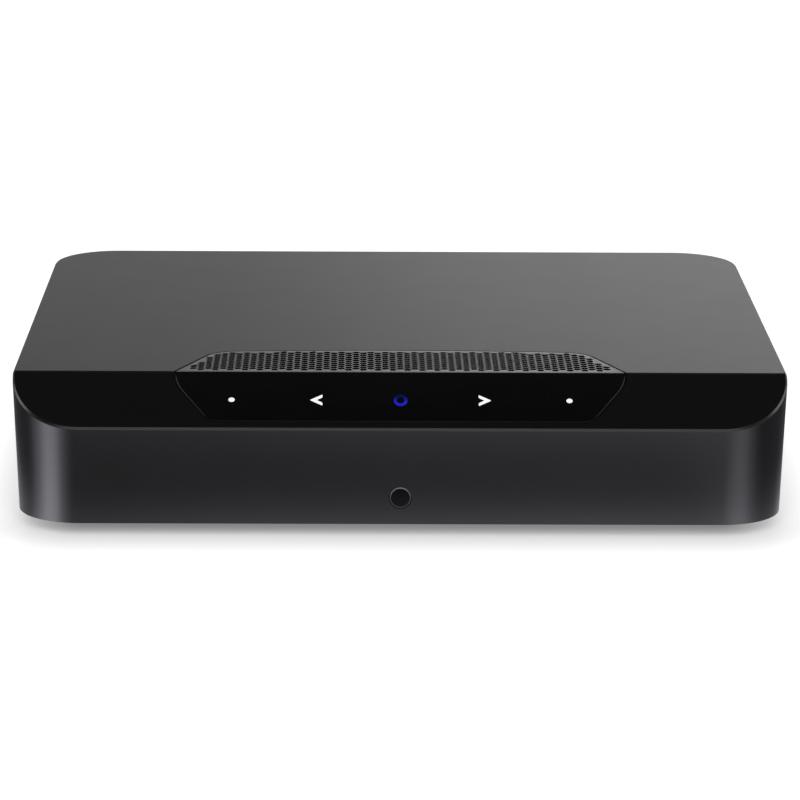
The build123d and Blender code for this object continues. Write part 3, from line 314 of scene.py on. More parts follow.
def glass_material():
    """Gloss black with a faint haze where fingers touch. Its gloss grows up the facet."""
    material, shader, place = shaded_material("touch_glass")
    glass = colours().glass
    haze = add_noise(material, place, 60, 4.0, (1, 2, 2))
    height = add_axis(material, place, "Z")
    full_z = PANEL_HIGH.z - FULL_GLOSS_DROP
    inputs = {
        "Base Color": add_colours(material, haze, glass, shade(glass, 1.25)),
        "Roughness": add_range(material, haze, 0.05, 0.11),
        "Specular IOR Level": add_range(material, height, 0.05, 0.6, PANEL_LOW.z, full_z),
    }
    set_inputs(material, shader, inputs)
    return material


def window_material():
    """Dark plastic of the infrared window, clear only for infrared light, with a highlight painted on its rim
    that grows paler towards the top.
    """
    material, shader, place = shaded_material("window_gloss")
    middle_x = (WINDOW_LOW.x + WINDOW_HIGH.x) / 2
    middle_z = (WINDOW_LOW.z + WINDOW_HIGH.z) / 2
    reach = sizes().window_radius
    rim_highlight_start = reach - sizes().window_rim_highlight
    # Painted highlight: a pale ring at the window's edge, paler towards the top, stands in for light caught
    # by the rim
    away = add_vector_step(material, place, "DISTANCE", (middle_x, WINDOW_LOW.y, middle_z))
    rim = add_range(material, away, 0.0, 1.0, rim_highlight_start, rim_highlight_start + RIM_HIGHLIGHT_BLEND)
    height = add_axis(material, place, "Z")
    upward = add_range(material, height, 0.0, 1.0, middle_z - reach, middle_z + reach)
    rim_highlight_colour = add_colours(material, upward, (0.05, 0.05, 0.052), (0.20, 0.20, 0.21), 0.4, 1.0)
    dark = (0.0022, 0.0018, 0.0020, 1)
    mix = add_node(material, "ShaderNodeMix", {"Factor": rim, "A": dark, "B": rim_highlight_colour}, data_type="RGBA")
    cloud = add_noise(material, place, 400)
    inputs = {
        "Base Color": mix.outputs["Result"],
        "Roughness": add_range(material, cloud, 0.05, 0.09),
        "Specular IOR Level": 0.2,
    }
    set_inputs(material, shader, inputs)
    return material


def board_material():
    """Solder-masked board with a raised web of tracks."""
    material, shader, place = shaded_material("board_mask")
    inputs = {
        "Vector": place,
        "Scale": 220,
        "Mortar Size": 0.035,
        "Color1": (0.006, 0.055, 0.020, 1),
        "Color2": (0.005, 0.048, 0.018, 1),
        "Mortar": (0.012, 0.090, 0.035, 1),
    }
    tracks = add_node(material, "ShaderNodeTexBrick", inputs)
    set_inputs(material, shader, {"Base Color": tracks.outputs["Color"], "Roughness": 0.35})
    add_bump(material, shader, tracks.outputs["Fac"], 0.4, 0.03 * MM)
    return material


def thread_material():
    """Gold plate with the ridges of a fine thread round the posts."""
    material, shader = surface("gold_thread", *PLAIN_FINISHES["gold"][1:])
    place = add_node(material, "ShaderNodeTexCoord", {}).outputs["Object"]
    ridges = add_wave(material, place, WAVE_BAND / THREAD_PITCH, "Y")
    add_bump(material, shader, ridges, 0.8, 0.25 * MM)
    return material


def winding_material():
    """Enamelled copper in turns, with painted highlight and shade: lighter on each turn and darker in the
    grooves between them.
    """
    material, shader, place = shaded_material("copper_winding")
    turns = add_wave(material, place, 320, "Z")
    # Painted highlight and shade along the turns, following the bump's ridges
    copper = add_colours(material, turns, (0.22, 0.06, 0.02), (0.62, 0.24, 0.09), 0.1, 0.9)
    set_inputs(material, shader, {"Base Color": copper, "Metallic": 1.0, "Roughness": 0.32})
    add_bump(material, shader, turns, 0.6, 0.2 * MM)
    return material


def clear_material():
    """Clear light guide with a frosted skin."""
    material, shader, place = shaded_material("light_guide_clear")
    frost = add_noise(material, place, 1500)
    inputs = {
        "Base Color": add_colours(material, frost, (0.80, 0.84, 0.86), (0.90, 0.92, 0.92)),
        "Roughness": add_range(material, frost, 0.15, 0.35),
        "Transmission Weight": 0.9,
    }
    set_inputs(material, shader, inputs)
    return material


def lit_material(name, low, high, low_z, high_z):
    """Lit icon. Its glow goes from low at low_z to high at high_z, and its film has a fine grain."""
    material, shader, place = shaded_material(name)
    height = add_range(material, add_axis(material, place, "Z"), 0, 1, low_z, high_z)
    inputs = {
        "Base Color": (0.002, 0.002, 0.002, 1),
        "Roughness": add_range(material, add_noise(material, place, 3000), 0.3, 0.5),
        "Specular IOR Level": 0.1,
        "Emission Color": add_colours(material, height, low, high, 0.0, 1.0),
        "Emission Strength": 1.0,
    }
    set_inputs(material, shader, inputs)
    return material


# Plain finishes: material, colour, roughness, grains per metre, grain depth in millimetres, metallic
PLAIN_FINISHES = {
    "rubber": ("foot_rubber", (0.014, 0.014, 0.014), 0.78, 1800, 0.050, 0.0),
    "steel": ("screw_steel", (0.10, 0.10, 0.105), 0.34, 2500, 0.006, 1.0),
    "gold": ("gold_plate", (0.82, 0.55, 0.22), 0.24, 1500, 0.004, 1.0),
    "nickel": ("nickel_plate", (0.58, 0.56, 0.52), 0.22, 1500, 0.004, 1.0),
    "ferrite": ("ferrite", (0.030, 0.030, 0.032), 0.62, 1800, 0.020, 0.0),
    "can": ("can_sleeve", (0.012, 0.014, 0.022), 0.32, 1500, 0.006, 0.0),
    "film": ("film_box", (0.42, 0.40, 0.34), 0.42, 1500, 0.010, 0.0),
    "fuse": ("fuse_body", (0.55, 0.55, 0.52), 0.28, 1200, 0.004, 0.0),
    "wire": ("wire_black", (0.012, 0.012, 0.012), 0.42, 2000, 0.010, 0.0),
    "chip": ("chip_black", (0.014, 0.014, 0.015), 0.50, 3000, 0.012, 0.0),
    "knob_black": ("knob_black", (0.010, 0.010, 0.010), 0.26, 1800, 0.006, 0.0),
}


def make_materials():
    """Every finish by its name. The names are those of the record's slots, where one fits."""
    plastic = colours().plastic
    aluminium = (0.62, 0.63, 0.64)
    tin = (0.66, 0.66, 0.65)
    made = {
        "coat": coat_material(),
        "glass": glass_material(),
        "window": window_material(),
        "board": board_material(),
        "winding": winding_material(),
        "clear": clear_material(),
        "thread": thread_material(),
        "grille": surface("grille_metal", colours().grille, 0.24, 3000, 0.002, 1.0)[0],
        # Painted shade of the grille's hole walls and underside: near-black and matt, darker than the
        # grille's metal
        "grille_wall": matt_material("grille_wall", (0.003, 0.003, 0.003)),
        "frame": matt_material("frame_plastic", (0.004, 0.004, 0.004)),
        "plastic": surface("moulded_black", plastic, 0.48, 2400, 0.030, spread=0.06)[0],
        "smooth_plastic": surface("socket_black", plastic, 0.30, 2600, 0.008)[0],
        "aluminium": surface("bare_aluminium", aluminium, 0.38, 1500, 0.008, 1.0, stretch=(1, 0.05, 1))[0],
        "tin": surface("tin_plate", tin, 0.26, 1200, 0.006, 1.0, stretch=(1, 0.08, 1))[0],
        "knob_red": surface("knob_red", colours().knob_red, 0.26, 1800, 0.006)[0],
    }
    for finish, settings in PLAIN_FINISHES.items():
        made[finish] = surface(*settings)[0]
    return made


FINISH = {}


def finish_of(name):
    """A finish by its name. The first call makes them all."""
    if not FINISH:
        FINISH.update(make_materials())
    return FINISH[name]


# Mesh helpers


def new_piece(name, bm, material, smooth=False):
    """Puts a finished mesh in the scene with its material."""
    mesh = bpy.data.meshes.new(name)
    bm.to_mesh(mesh)
    bm.free()
    mesh.polygons.foreach_set("use_smooth", [smooth] * len(mesh.polygons))
    mesh.materials.append(material)
    piece = bpy.data.objects.new(name, mesh)
    bpy.context.scene.collection.objects.link(piece)
    return piece


def place_piece(name, bm, material, body="root", smooth=True):
    """New piece of the object, on its body and with its slot."""
    piece = new_piece(name, bm, material, smooth)
    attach(piece, body)
    return piece


def merged_copy(node):
    """A node's mesh with its loose triangles merged and its flat faces made whole."""
    bm = bmesh.new()
    bm.from_mesh(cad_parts[node].data)
    bmesh.ops.remove_doubles(bm, verts=bm.verts, dist=MERGE_DISTANCE)
    bmesh.ops.dissolve_limit(bm, angle_limit=FLAT_ANGLE, verts=bm.verts, edges=bm.edges)
    return bm


def round_edges(piece, width, segments=2, angle=35.0):
    """Bevel of width millimetres on every edge sharper than angle. The normals stay flat on big faces."""
    bevel = piece.modifiers.new("rounding", "BEVEL")
    bevel.width = width * MM
    bevel.segments = segments
    bevel.limit_method = "ANGLE"
    bevel.angle_limit = math.radians(angle)
    bevel.miter_outer = "MITER_ARC"
    normals = piece.modifiers.new("flat_faces", "WEIGHTED_NORMAL")
    normals.weight = 80
    normals.keep_sharp = False


def dressed_copy(node, finish, slot, width, segments=2, body="root", angle=35.0):
    """Copy of a node, rounded by width millimetres, which stands for it."""
    piece = place_piece(f"{node}_skin", merged_copy(node), finish_of(finish), body)
    round_edges(piece, width, segments, angle)
    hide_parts(node)


def paint_node(node, finish):
    """Gives a carried-over node its finish."""
    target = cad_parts[node]
    target.data.materials.clear()
    target.data.materials.append(finish_of(finish))


def facet_matrix():
    """Frame of the facet: origin on the crease, X to the right, Y up the slope, Z out of the surface."""
    tilt = sizes().facet_tilt
    crease_y = GRILLE_LOW.y - sizes().mitre_gap / math.cos(tilt / 2)
    return Matrix.Translation((0, crease_y, SHELL_HIGH.z)) @ Matrix.Rotation(tilt, 4, "X")


# Operators, one for each piece or group of like pieces


def corner_angle(corner, side):
    """Angle of a point round a front corner's axis, measured from the front towards the side."""
    return math.atan2(side * corner.co.x - CORNER_AXIS.x, CORNER_AXIS.y - corner.co.y)


def on_corner(face, side):
    """True for a face of the drafted outer cone of a front corner."""
    if abs(face.normal.z) > CONE_NORMAL_LIMIT:
        return False
    for corner in face.verts:
        out = Vector((side * corner.co.x - CORNER_AXIS.x, CORNER_AXIS.y - corner.co.y))
        cone = CONE_RADIUS + (corner.co.z - SHELL_LOW.z) * CONE_SLOPE
        if min(out) < -CONE_TOLERANCE or abs(out.length - cone) > CONE_TOLERANCE:
            return False
    return True


def straighten_corner(bm, side):
    """Swaps the scattered triangles of a drafted front corner for clean upright strips."""
    faces = {face for face in bm.faces if on_corner(face, side)}
    rim = [
        corner
        for corner in {corner for face in faces for corner in face.verts}
        if any(near not in faces for near in corner.link_faces)
    ]
    bmesh.ops.delete(bm, geom=list(faces), context="FACES")
    rim.sort(key=lambda corner: corner_angle(corner, side))
    split_z = (SHELL_LOW.z + SHELL_HIGH.z) / 3
    upper = [corner for corner in rim if corner.co.z > split_z]
    lower = [corner for corner in rim if corner.co.z <= split_z]
    high, low = 0, 0
    while high < len(upper) - 1 or low < len(lower) - 1:
        next_high = corner_angle(upper[high + 1], side) if high < len(upper) - 1 else math.inf
        next_low = corner_angle(lower[low + 1], side) if low < len(lower) - 1 else math.inf
        ring = [upper[high], lower[low]]
        if next_low < next_high + STRIP_TWIST:
            low += 1
            ring.append(lower[low])
        if next_high < next_low + STRIP_TWIST:
            high += 1
            ring.append(upper[high])
        bm.faces.new(ring)


class AMPLIFIER_OT_top_shell(bpy.types.Operator):
    """Drafted cover with its facet, openings and rounded edges"""

    bl_idname = "amplifier.top_shell"
    bl_label = "Top shell"

    def execute(self, context):
        bm = merged_copy("top_shell")
        for side in (-1, 1):
            straighten_corner(bm, side)
        bmesh.ops.recalc_face_normals(bm, faces=bm.faces)
        piece = place_piece("top_shell_skin", bm, finish_of("coat"))
        round_edges(piece, 0.12, segments=2, angle=12.0)
        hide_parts("top_shell")
        return {"FINISHED"}


class AMPLIFIER_OT_inlay_frame(bpy.types.Operator):
    """Carrier whose thin rim shows round grille and touch panel"""

    bl_idname = "amplifier.inlay_frame"
    bl_label = "Inlay frame"

    def execute(self, context):
        dressed_copy("inlay_frame", "frame", "frame_plastic", 0.08, segments=1)
        return {"FINISHED"}


def grille_rim(bm):
    """Leaves only the outer edge loop of the grille's upper face in the mesh."""
    top = GRILLE_HIGH.z - NEAR_TOP
    buried = [face for face in bm.faces if face.normal.z < FACING_UP or face.calc_center_median().z < top]
    bmesh.ops.delete(bm, geom=buried, context="FACES")
    seed = max(bm.verts, key=lambda corner: corner.co.x)
    loop, queue = set(), [seed]
    while queue:
        corner = queue.pop()
        for edge in corner.link_edges:
            if edge.is_boundary and edge not in loop:
                loop.add(edge)
                queue.append(edge.other_vert(corner))
    bmesh.ops.delete(bm, geom=list(bm.faces), context="FACES_ONLY")
    bmesh.ops.delete(bm, geom=[edge for edge in bm.edges if edge not in loop], context="EDGES")
    bmesh.ops.delete(bm, geom=[corner for corner in bm.verts if not corner.link_edges], context="VERTS")
    return [(edge.verts[0].co.copy(), edge.verts[1].co.copy()) for edge in bm.edges]


def depth_inside(x, y, sides):
    """Distance from the nearest side of a flat outline, negative outside it."""
    inside = False
    nearest = math.inf
    for start, end in sides:
        if (start.y > y) != (end.y > y):
            if x < (end.x - start.x) * (y - start.y) / (end.y - start.y) + start.x:
                inside = not inside
        run = (end - start).xy
        along = max(0.0, min(1.0, (Vector((x, y)) - start.xy).dot(run) / run.length_squared))
        nearest = min(nearest, (start.xy + run * along - Vector((x, y))).length)
    return nearest if inside else -nearest


def cut_holes(bm):
    """Sets the outline of every hole that fits inside the grille's rim, then fills the plate round them."""
    size = sizes()
    sides = grille_rim(bm)
    column_pitch = size.hole_pitch * math.cos(HOLE_TURN)
    hole_radius = (size.hole_pitch - size.web_width) / 2 / math.cos(HOLE_TURN)
    columns = int(GRILLE_HIGH.x / column_pitch) + 1
    rows = int((GRILLE_HIGH.y - GRILLE_LOW.y) / size.hole_pitch) + 1
    first_row = GRILLE_LOW.y + size.grille_border + (size.hole_pitch - size.web_width) / 2
    for column in range(-columns, columns + 1):
        for row in range(rows):
            x = column * column_pitch
            y = first_row + (row + 0.5 * (column % 2)) * size.hole_pitch
            if depth_inside(x, y, sides) > hole_radius + HOLE_MARGIN * size.grille_border:
                where = Matrix.Translation((x, y, GRILLE_HIGH.z)) @ Matrix.Rotation(HOLE_TURN, 4, "Z")
                bmesh.ops.create_circle(bm, segments=6, radius=hole_radius, matrix=where)
    bmesh.ops.triangle_fill(bm, use_beauty=True, edges=bm.edges, normal=(0, 0, 1))


def extrude_flat(bm):
    """Extrudes a flat outline, keeps the first face, and returns the new corners."""
    made = bmesh.ops.extrude_face_region(bm, geom=bm.faces[:], use_keep_orig=True)["geom"]
    return [item for item in made if isinstance(item, bmesh.types.BMVert)]


class AMPLIFIER_OT_vent_grille(bpy.types.Operator):
    """Honeycomb plate behind the crease, with every hole cut through"""

    bl_idname = "amplifier.vent_grille"
    bl_label = "Vent grille"

    def execute(self, context):
        size = sizes()
        bm = merged_copy("vent_grille")
        cut_holes(bm)
        lower = extrude_flat(bm)
        bmesh.ops.translate(bm, verts=lower, vec=(0, 0, -size.plate_thickness))
        front = [corner for corner in lower if corner.co.y < GRILLE_LOW.y + NEAR_FRONT]
        mitre = size.plate_thickness * math.tan(size.facet_tilt / 2)
        bmesh.ops.translate(bm, verts=front, vec=(0, mitre, 0))
        bmesh.ops.recalc_face_normals(bm, faces=bm.faces)
        # Painted shade: faces that look up keep the grille's metal, and the hole walls and underside get the
        # near-black matt finish
        for face in bm.faces:
            face.material_index = 0 if face.normal.z > FACING_UP else 1
        piece = place_piece("honeycomb_grille", bm, finish_of("grille"))
        piece.data.materials.append(finish_of("grille_wall"))
        round_edges(piece, 0.04, segments=1, angle=50.0)
        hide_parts("vent_grille")
        return {"FINISHED"}


class AMPLIFIER_OT_touch_panel(bpy.types.Operator):
    """Glossy plate on the facet"""

    bl_idname = "amplifier.touch_panel"
    bl_label = "Touch panel"

    def execute(self, context):
        dressed_copy("touch_panel", "glass", "panel_gloss", 0.34, segments=4)
        return {"FINISHED"}


def place_icon(name, bm, x, material):
    """Gives a flat icon its thickness and sets it on the facet, x to the right of the middle."""
    bmesh.ops.translate(bm, verts=extrude_flat(bm), vec=(0, 0, sizes().icon_proud))
    bmesh.ops.recalc_face_normals(bm, faces=bm.faces)
    where = facet_matrix() @ Matrix.Translation((x, -sizes().icon_drop, 0))
    bmesh.ops.transform(bm, matrix=where, verts=bm.verts)
    place_piece(name, bm, material, smooth=False)


def chevron(bm):
    """Arrow head that points to -X. Its arms end in an upright cut, and its corners are soft."""
    size = sizes()
    half_width, half_height = size.chevron_width / 2, size.chevron_height / 2
    slope = half_height / size.chevron_width
    notch_x = half_width - (half_height - size.chevron_end) / slope
    outline = [
        (-half_width, 0),
        (half_width, -half_height),
        (half_width, size.chevron_end - half_height),
        (notch_x, 0),
        (half_width, half_height - size.chevron_end),
        (half_width, half_height),
    ]
    corners = [bm.verts.new((x, y, 0)) for x, y in outline]
    bm.faces.new(corners)
    soft = [corner for corner in corners if corner.co.x != notch_x]
    offset = CHEVRON_SOFTNESS * size.chevron_end
    bmesh.ops.bevel(bm, geom=soft, offset=offset, segments=5, profile=0.5, affect="VERTICES", material=-1)


def stretched_ring(bm):
    """Flat ring, drawn out along Y."""
    size = sizes()
    bmesh.ops.create_circle(bm, cap_ends=True, segments=48, radius=size.ring_radius)
    bmesh.ops.inset_region(bm, faces=bm.faces[:], thickness=size.ring_width, use_boundary=True)
    middle = min(bm.faces, key=lambda face: face.calc_center_median().length)
    bmesh.ops.delete(bm, geom=[middle], context="FACES")
    bmesh.ops.scale(bm, verts=bm.verts, vec=(1, size.ring_stretch, 1))


class AMPLIFIER_OT_touch_icons(bpy.types.Operator):
    """Lit icons: two dots, two arrows and the ring"""

    bl_idname = "amplifier.touch_icons"
    bl_label = "Touch icons"

    def execute(self, context):
        size = sizes()
        middle_z = (facet_matrix() @ Vector((0, -size.icon_drop, 0))).z
        soft_white, full_white = (0.92, 0.93, 0.95), (1.0, 1.0, 1.0)
        low_z, high_z = middle_z - WHITE_FADE, middle_z + WHITE_FADE
        white = lit_material("icon_white", soft_white, full_white, low_z, high_z)
        blue = tuple(colours().icon_blue)
        low_z, high_z = middle_z + RING_FADE_LOW, middle_z + RING_FADE_HIGH
        ring_glow = lit_material("icon_ring", blue, shade(blue, RING_DIM), low_z, high_z)
        for end, side in (("left", -1), ("right", 1)):
            bm = bmesh.new()
            bmesh.ops.create_circle(bm, cap_ends=True, segments=32, radius=size.dot_radius)
            place_icon(f"dot_{end}", bm, side * 2 * size.icon_spacing, white)
            bm = bmesh.new()
            chevron(bm)
            if side > 0:
                half_turn = Matrix.Rotation(math.pi, 3, "Z")
                bmesh.ops.rotate(bm, verts=bm.verts, cent=(0, 0, 0), matrix=half_turn)
            place_icon(f"arrow_{end}", bm, side * size.icon_spacing, white)
        bm = bmesh.new()
        stretched_ring(bm)
        place_icon("ring_light", bm, 0, ring_glow)
        return {"FINISHED"}


class AMPLIFIER_OT_infrared_window(bpy.types.Operator):
    """Glossy disc in the front"""

    bl_idname = "amplifier.infrared_window"
    bl_label = "Infrared window"

    def execute(self, context):
        dressed_copy("ir_window", "window", "panel_gloss", 0.25, segments=3)
        return {"FINISHED"}


def turned_screw(bm, where, profile):
    """Screw turned round its axis, with a cross recess in its face. The face looks along Z."""
    kept = set(bm.verts)
    points = [bm.verts.new((radius * MM, 0, z * MM)) for radius, z in profile]
    outline = points + [bm.edges.new(pair) for pair in zip(points, points[1:])]
    circle = {"cent": (0, 0, 0), "axis": (0, 0, 1), "dvec": (0, 0, 0), "angle": math.tau}
    bmesh.ops.spin(bm, geom=outline, steps=40, use_merge=True, **circle)
    made = [corner for corner in bm.verts if corner not in kept]
    bmesh.ops.remove_doubles(bm, verts=made, dist=MERGE_DISTANCE)
    made = {corner for corner in bm.verts if corner not in kept}
    face_edges = [edge for edge in bm.edges if edge.is_boundary and edge.verts[0] in made]
    size = sizes()
    long, short = size.recess_length / 2, size.recess_width / 2
    quarter = [(long, -short), (long, short), (short, short)]
    cross = [Matrix.Rotation(turn * math.pi / 2, 2) @ Vector(place) for turn in range(4) for place in quarter]
    upper = [bm.verts.new((x, y, 0)) for x, y in cross]
    lower = [bm.verts.new((RECESS_TAPER * x, RECESS_TAPER * y, -size.recess_depth)) for x, y in cross]
    for index, corner in enumerate(upper):
        bm.faces.new((upper[index - 1], corner, lower[index], lower[index - 1]))
    bm.faces.new(lower)
    mouth = [edge for edge in bm.edges if edge.is_boundary and all(corner in upper for corner in edge.verts)]
    bmesh.ops.triangle_fill(bm, edges=face_edges + mouth, normal=(0, 0, 1))
    made = [corner for corner in bm.verts if corner not in kept]
    bmesh.ops.transform(bm, matrix=where, verts=made)


def screw_group(node, places, turn, profile):
    """All screws of a node, which stand for it."""
    bm = bmesh.new()
    for place in places:
        turned_screw(bm, Matrix.Translation(place) @ turn, profile)
    bmesh.ops.recalc_face_normals(bm, faces=bm.faces)
    piece = place_piece(f"{node}_skin", bm, finish_of("steel"))
    round_edges(piece, 0.06, segments=1)
    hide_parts(node)


def case_screws():
    """Countersunk screws that hold the base to the shell's bosses."""
    low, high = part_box("case_screws")
    head = sizes().screw_head
    places = [(x, y, low.z) for x in (low.x + head, high.x - head) for y in (low.y + head, high.y - head)]
    screw_group("case_screws", places, Matrix.Rotation(math.pi, 4, "X"), COUNTERSUNK_SCREW)


def rear_panel_screws():
    """Pan-head screws at both ends of the rear panel."""
    low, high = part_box("rear_panel_screws")
    head = sizes().screw_head
    places = [(x, high.y, (low.z + high.z) / 2) for x in (low.x + head, high.x - head)]
    screw_group("rear_panel_screws", places, Matrix.Rotation(-math.pi / 2, 4, "X"), PAN_HEAD_SCREW)


class AMPLIFIER_OT_underside(bpy.types.Operator):
    """Base plate, feet and screws"""

    bl_idname = "amplifier.underside"
    bl_label = "Underside"

    def execute(self, context):
        dressed_copy("base_plate", "plastic", "moulded_black", 0.20)
        dressed_copy("feet", "rubber", "foot_rubber", 0.50, segments=3)
        case_screws()
        return {"FINISHED"}


class AMPLIFIER_OT_rear_panel(bpy.types.Operator):
    """Tray at the back with its two screws"""

    bl_idname = "amplifier.rear_panel"
    bl_label = "Rear panel"

    def execute(self, context):
        dressed_copy("rear_panel", "plastic", "moulded_black", 0.15)
        rear_panel_screws()
        return {"FINISHED"}


# Sockets: node, finish, slot, rounding in millimetres and its segments
SOCKETS = (
    ("ethernet_jack", "smooth_plastic", "moulded_black", 0.15, 2),
    ("ethernet_contacts", "gold", "gold_plate", 0.05, 1),
    ("usb_port", "tin", "tin_plate", 0.12, 2),
    ("usb_tongue", "smooth_plastic", "moulded_black", 0.10, 2),
    ("hdmi_port", "tin", "tin_plate", 0.12, 2),
    ("hdmi_tongue", "smooth_plastic", "moulded_black", 0.10, 2),
    ("line_in_jack", "smooth_plastic", "moulded_black", 0.15, 2),
    ("subwoofer_jack", "smooth_plastic", "moulded_black", 0.12, 2),
    ("subwoofer_sleeve", "gold", "gold_plate", 0.12, 2),
    ("mains_inlet", "smooth_plastic", "moulded_black", 0.20, 2),
    ("mains_pins", "nickel", "nickel_plate", 0.30, 3),
)


class AMPLIFIER_OT_sockets(bpy.types.Operator):
    """Network, data, audio and mains sockets"""

    bl_idname = "amplifier.sockets"
    bl_label = "Sockets"

    def execute(self, context):
        for socket in SOCKETS:
            dressed_copy(*socket)
        return {"FINISHED"}


class AMPLIFIER_OT_speaker_posts(bpy.types.Operator):
    """Posts with their collars, clamp washers and knobs"""

    bl_idname = "amplifier.speaker_posts"
    bl_label = "Speaker posts"

    def execute(self, context):
        dressed_copy("binding_posts", "thread", "gold_plate", 0.12)
        dressed_copy("post_collars", "smooth_plastic", "moulded_black", 0.25)
        for post in POSTS:
            knob = "knob_red" if post.endswith("plus") else "knob_black"
            dressed_copy(f"clamp_washer_{post}", "gold", "gold_plate", 0.15, body=f"washer_{post}")
            dressed_copy(f"post_knob_{post}", knob, knob, 0.10, body=f"knob_{post}", angle=30.0)
        return {"FINISHED"}


INNER_FINISHES = {
    "clear": ("light_guide",),
    "board": ("touch_board", "main_board", "power_board", "streaming_module", "wifi_antennas"),
    "film": ("ribbon_cable", "filter_capacitors", "x_capacitor"),
    "chip": ("ir_receiver", "amplifier_chips", "rectifier"),
    "steel": ("board_screws",),
    "aluminium": ("heat_sink", "power_heat_sink"),
    "ferrite": ("output_inductors", "transformer_core", "mains_choke"),
    "can": ("supply_capacitors", "bulk_capacitor"),
    "tin": ("module_shield", "post_tabs"),
    "nickel": ("post_nuts",),
    "plastic": ("post_insulators",),
    "winding": ("transformer_winding",),
    "fuse": ("fuse",),
    "wire": ("antenna_leads", "mains_wires", "supply_wires"),
}


class AMPLIFIER_OT_inner_parts(bpy.types.Operator):
    """Finishes of the pieces inside the case"""

    bl_idname = "amplifier.inner_parts"
    bl_label = "Inner parts"

    def execute(self, context):
        for finish, nodes in INNER_FINISHES.items():
            for node in nodes:
                paint_node(node, finish)
        return {"FINISHED"}


# Stage


# Levels that gloss mirrors in floor and backdrop: pairs of a place in metres and a level, and the highest
FLOOR_BANDS_Y = (
    (-0.40, 2.0),
    (-0.25, 1.7),
    (-0.21, 0.9),
    (-0.185, 0.17),
    (-0.14, 0.22),
    (-0.123, 0.6),
    (-0.11, 1.3),
    (-0.05, 1.0),
)
FLOOR_BANDS_X = (
    (-0.30, 0.10),
    (-0.16, 0.13),
    (-0.13, 0.42),
    (-0.105, 0.50),
    (-0.05, 0.75),
    (0.04, 0.95),
    (0.10, 1.05),
    (0.125, 0.40),
    (0.155, 0.12),
    (0.30, 0.10),
)
WALL_BANDS_Z = ((0.0, 1.7), (0.5, 1.7), (1.3, 0.4), (2.6, 0.3))
WALL_BANDS_X = ((-1.2, 0.3), (-0.45, 0.36), (-0.15, 0.40), (0.1, 0.60), (0.45, 0.72), (1.2, 0.8))
WALL_BANDS_Y = ((-3.6, 1.9), (-2.6, 1.9), (-0.5, 0.08), (0.72, 0.08), (2.88, 1.0), (3.6, 1.0))
PROFILE_TOP = 2.0

# Wedges of light on the floor: start, direction and level of each, half width at its start and end, and
# the level across it, in half widths, and along it, in metres
WEDGES = (
    ((-0.0977, -0.0906, 0), (-0.799, -0.602, 0), 4.1),
    ((0.095, -0.0917, 0), (0.588, -0.809, 0), 1.5),
)
WEDGE_START = 0.003
WEDGE_END = 0.062
WEDGE_SIDES = ((-3.2, 0.0), (-1.7, 0.30), (-0.5, 1.0), (0.5, 1.0), (1.6, 0.28), (2.8, 0.0))
WEDGE_LENGTH = ((-0.01, 0.0), (0.005, 1.0), (0.16, 1.0), (0.25, 0.0))

# Floor: tint of what gloss mirrors, share of its glow left in the shadow, and radius of the shadow's corners
MIRRORED_TINT = (0.96, 0.97, 1.07)
SHADOW_LEVEL = 0.26
SHADOW_CORNER = 19.5 * MM

# Lamps: place, aim and size in metres, the setting that holds the power, and whether only gloss sees it
LAMPS = {
    "key": ((0, -2.2, 1.3), (0, 0, 0), (1.6, 0.9), "key_power", False),
    "fill": ((0, 2.2, 1.3), (0, 0, 0), (1.6, 0.9), "fill_power", False),
    "edge_lamp": ((0, -2.5, 2.5), (0, 0, 0.03), (3.2, 0.8), "edge_power", True),
    "left_strip": ((-2.5, 0.4, 1.5), (0, 0, 0.02), (1.8, 1.0), "left_power", True),
    "right_strip": ((2.5, 0.4, 1.5), (0, 0, 0.02), (1.8, 1.0), "right_power", True),
}

# Light that the room around the stage gives
ROOM_LEVEL = 0.02

# Camera: place, turns, sensor in millimetres and how far it sees in metres
CAMERA_PLACE = (-10.8 * MM, -1068.3 * MM, 289.8 * MM)
CAMERA_YAW = math.radians(-0.62)
CAMERA_PITCH = math.radians(-14.35)
CAMERA_ROLL = math.radians(-0.35)
SENSOR_WIDTH = 36.0
VIEW_DEPTH = 20.0

# Sides of the round floor and backdrop
ROUND_SEGMENTS = 96


class StageSettings(bpy.types.PropertyGroup):
    """Camera, lamps and floor."""

    floor_glow: bpy.props.FloatProperty(
        name="Floor glow", description="White that the floor adds for the camera", default=0.86
    )
    floor_albedo: bpy.props.FloatProperty(
        name="Floor albedo", description="How pale the floor is", default=0.5
    )
    shadow_inside: length_property("Shadow inside", "How far under the shell the shadow is darkest", 15.5)
    shadow_outside: length_property("Shadow outside", "How far outside the shell the shadow ends", 15.0)
    wall_radius: length_property("Wall radius", "Radius of the round backdrop", 3600)
    wall_height: length_property("Wall height", "Height of the round backdrop", 2600)
    key_power: power_property("Key power", "Softbox above the front", 62.0)
    fill_power: power_property("Fill power", "Weak softbox behind, for the matt pieces at the back", 20.0)
    edge_power: power_property("Edge lamp power", "High lamp that the front's upper edge mirrors", 14.0)
    left_power: power_property("Left strip power", "Lamp that the left edges mirror", 17.0)
    right_power: power_property("Right strip power", "Lamp that the right edges mirror", 17.0)
    lens: bpy.props.FloatProperty(name="Lens", description="Focal length in millimetres", default=162.69)


def add_profile(material, source, stops):
    """Level along one coordinate: stops are pairs of place and level up to PROFILE_TOP."""
    first, last = stops[0][0], stops[-1][0]
    share = add_range(material, source, 0.0, 1.0, first, last)
    node = add_node(material, "ShaderNodeValToRGB", {"Fac": share})
    ramp = node.color_ramp
    while len(ramp.elements) < len(stops):
        ramp.elements.new(0.5)
    for element, (place, level) in zip(ramp.elements, stops):
        element.position = (place - first) / (last - first)
        element.color = (*[level / PROFILE_TOP] * 3, 1)
    return add_math(material, "MULTIPLY", node.outputs["Color"], PROFILE_TOP)


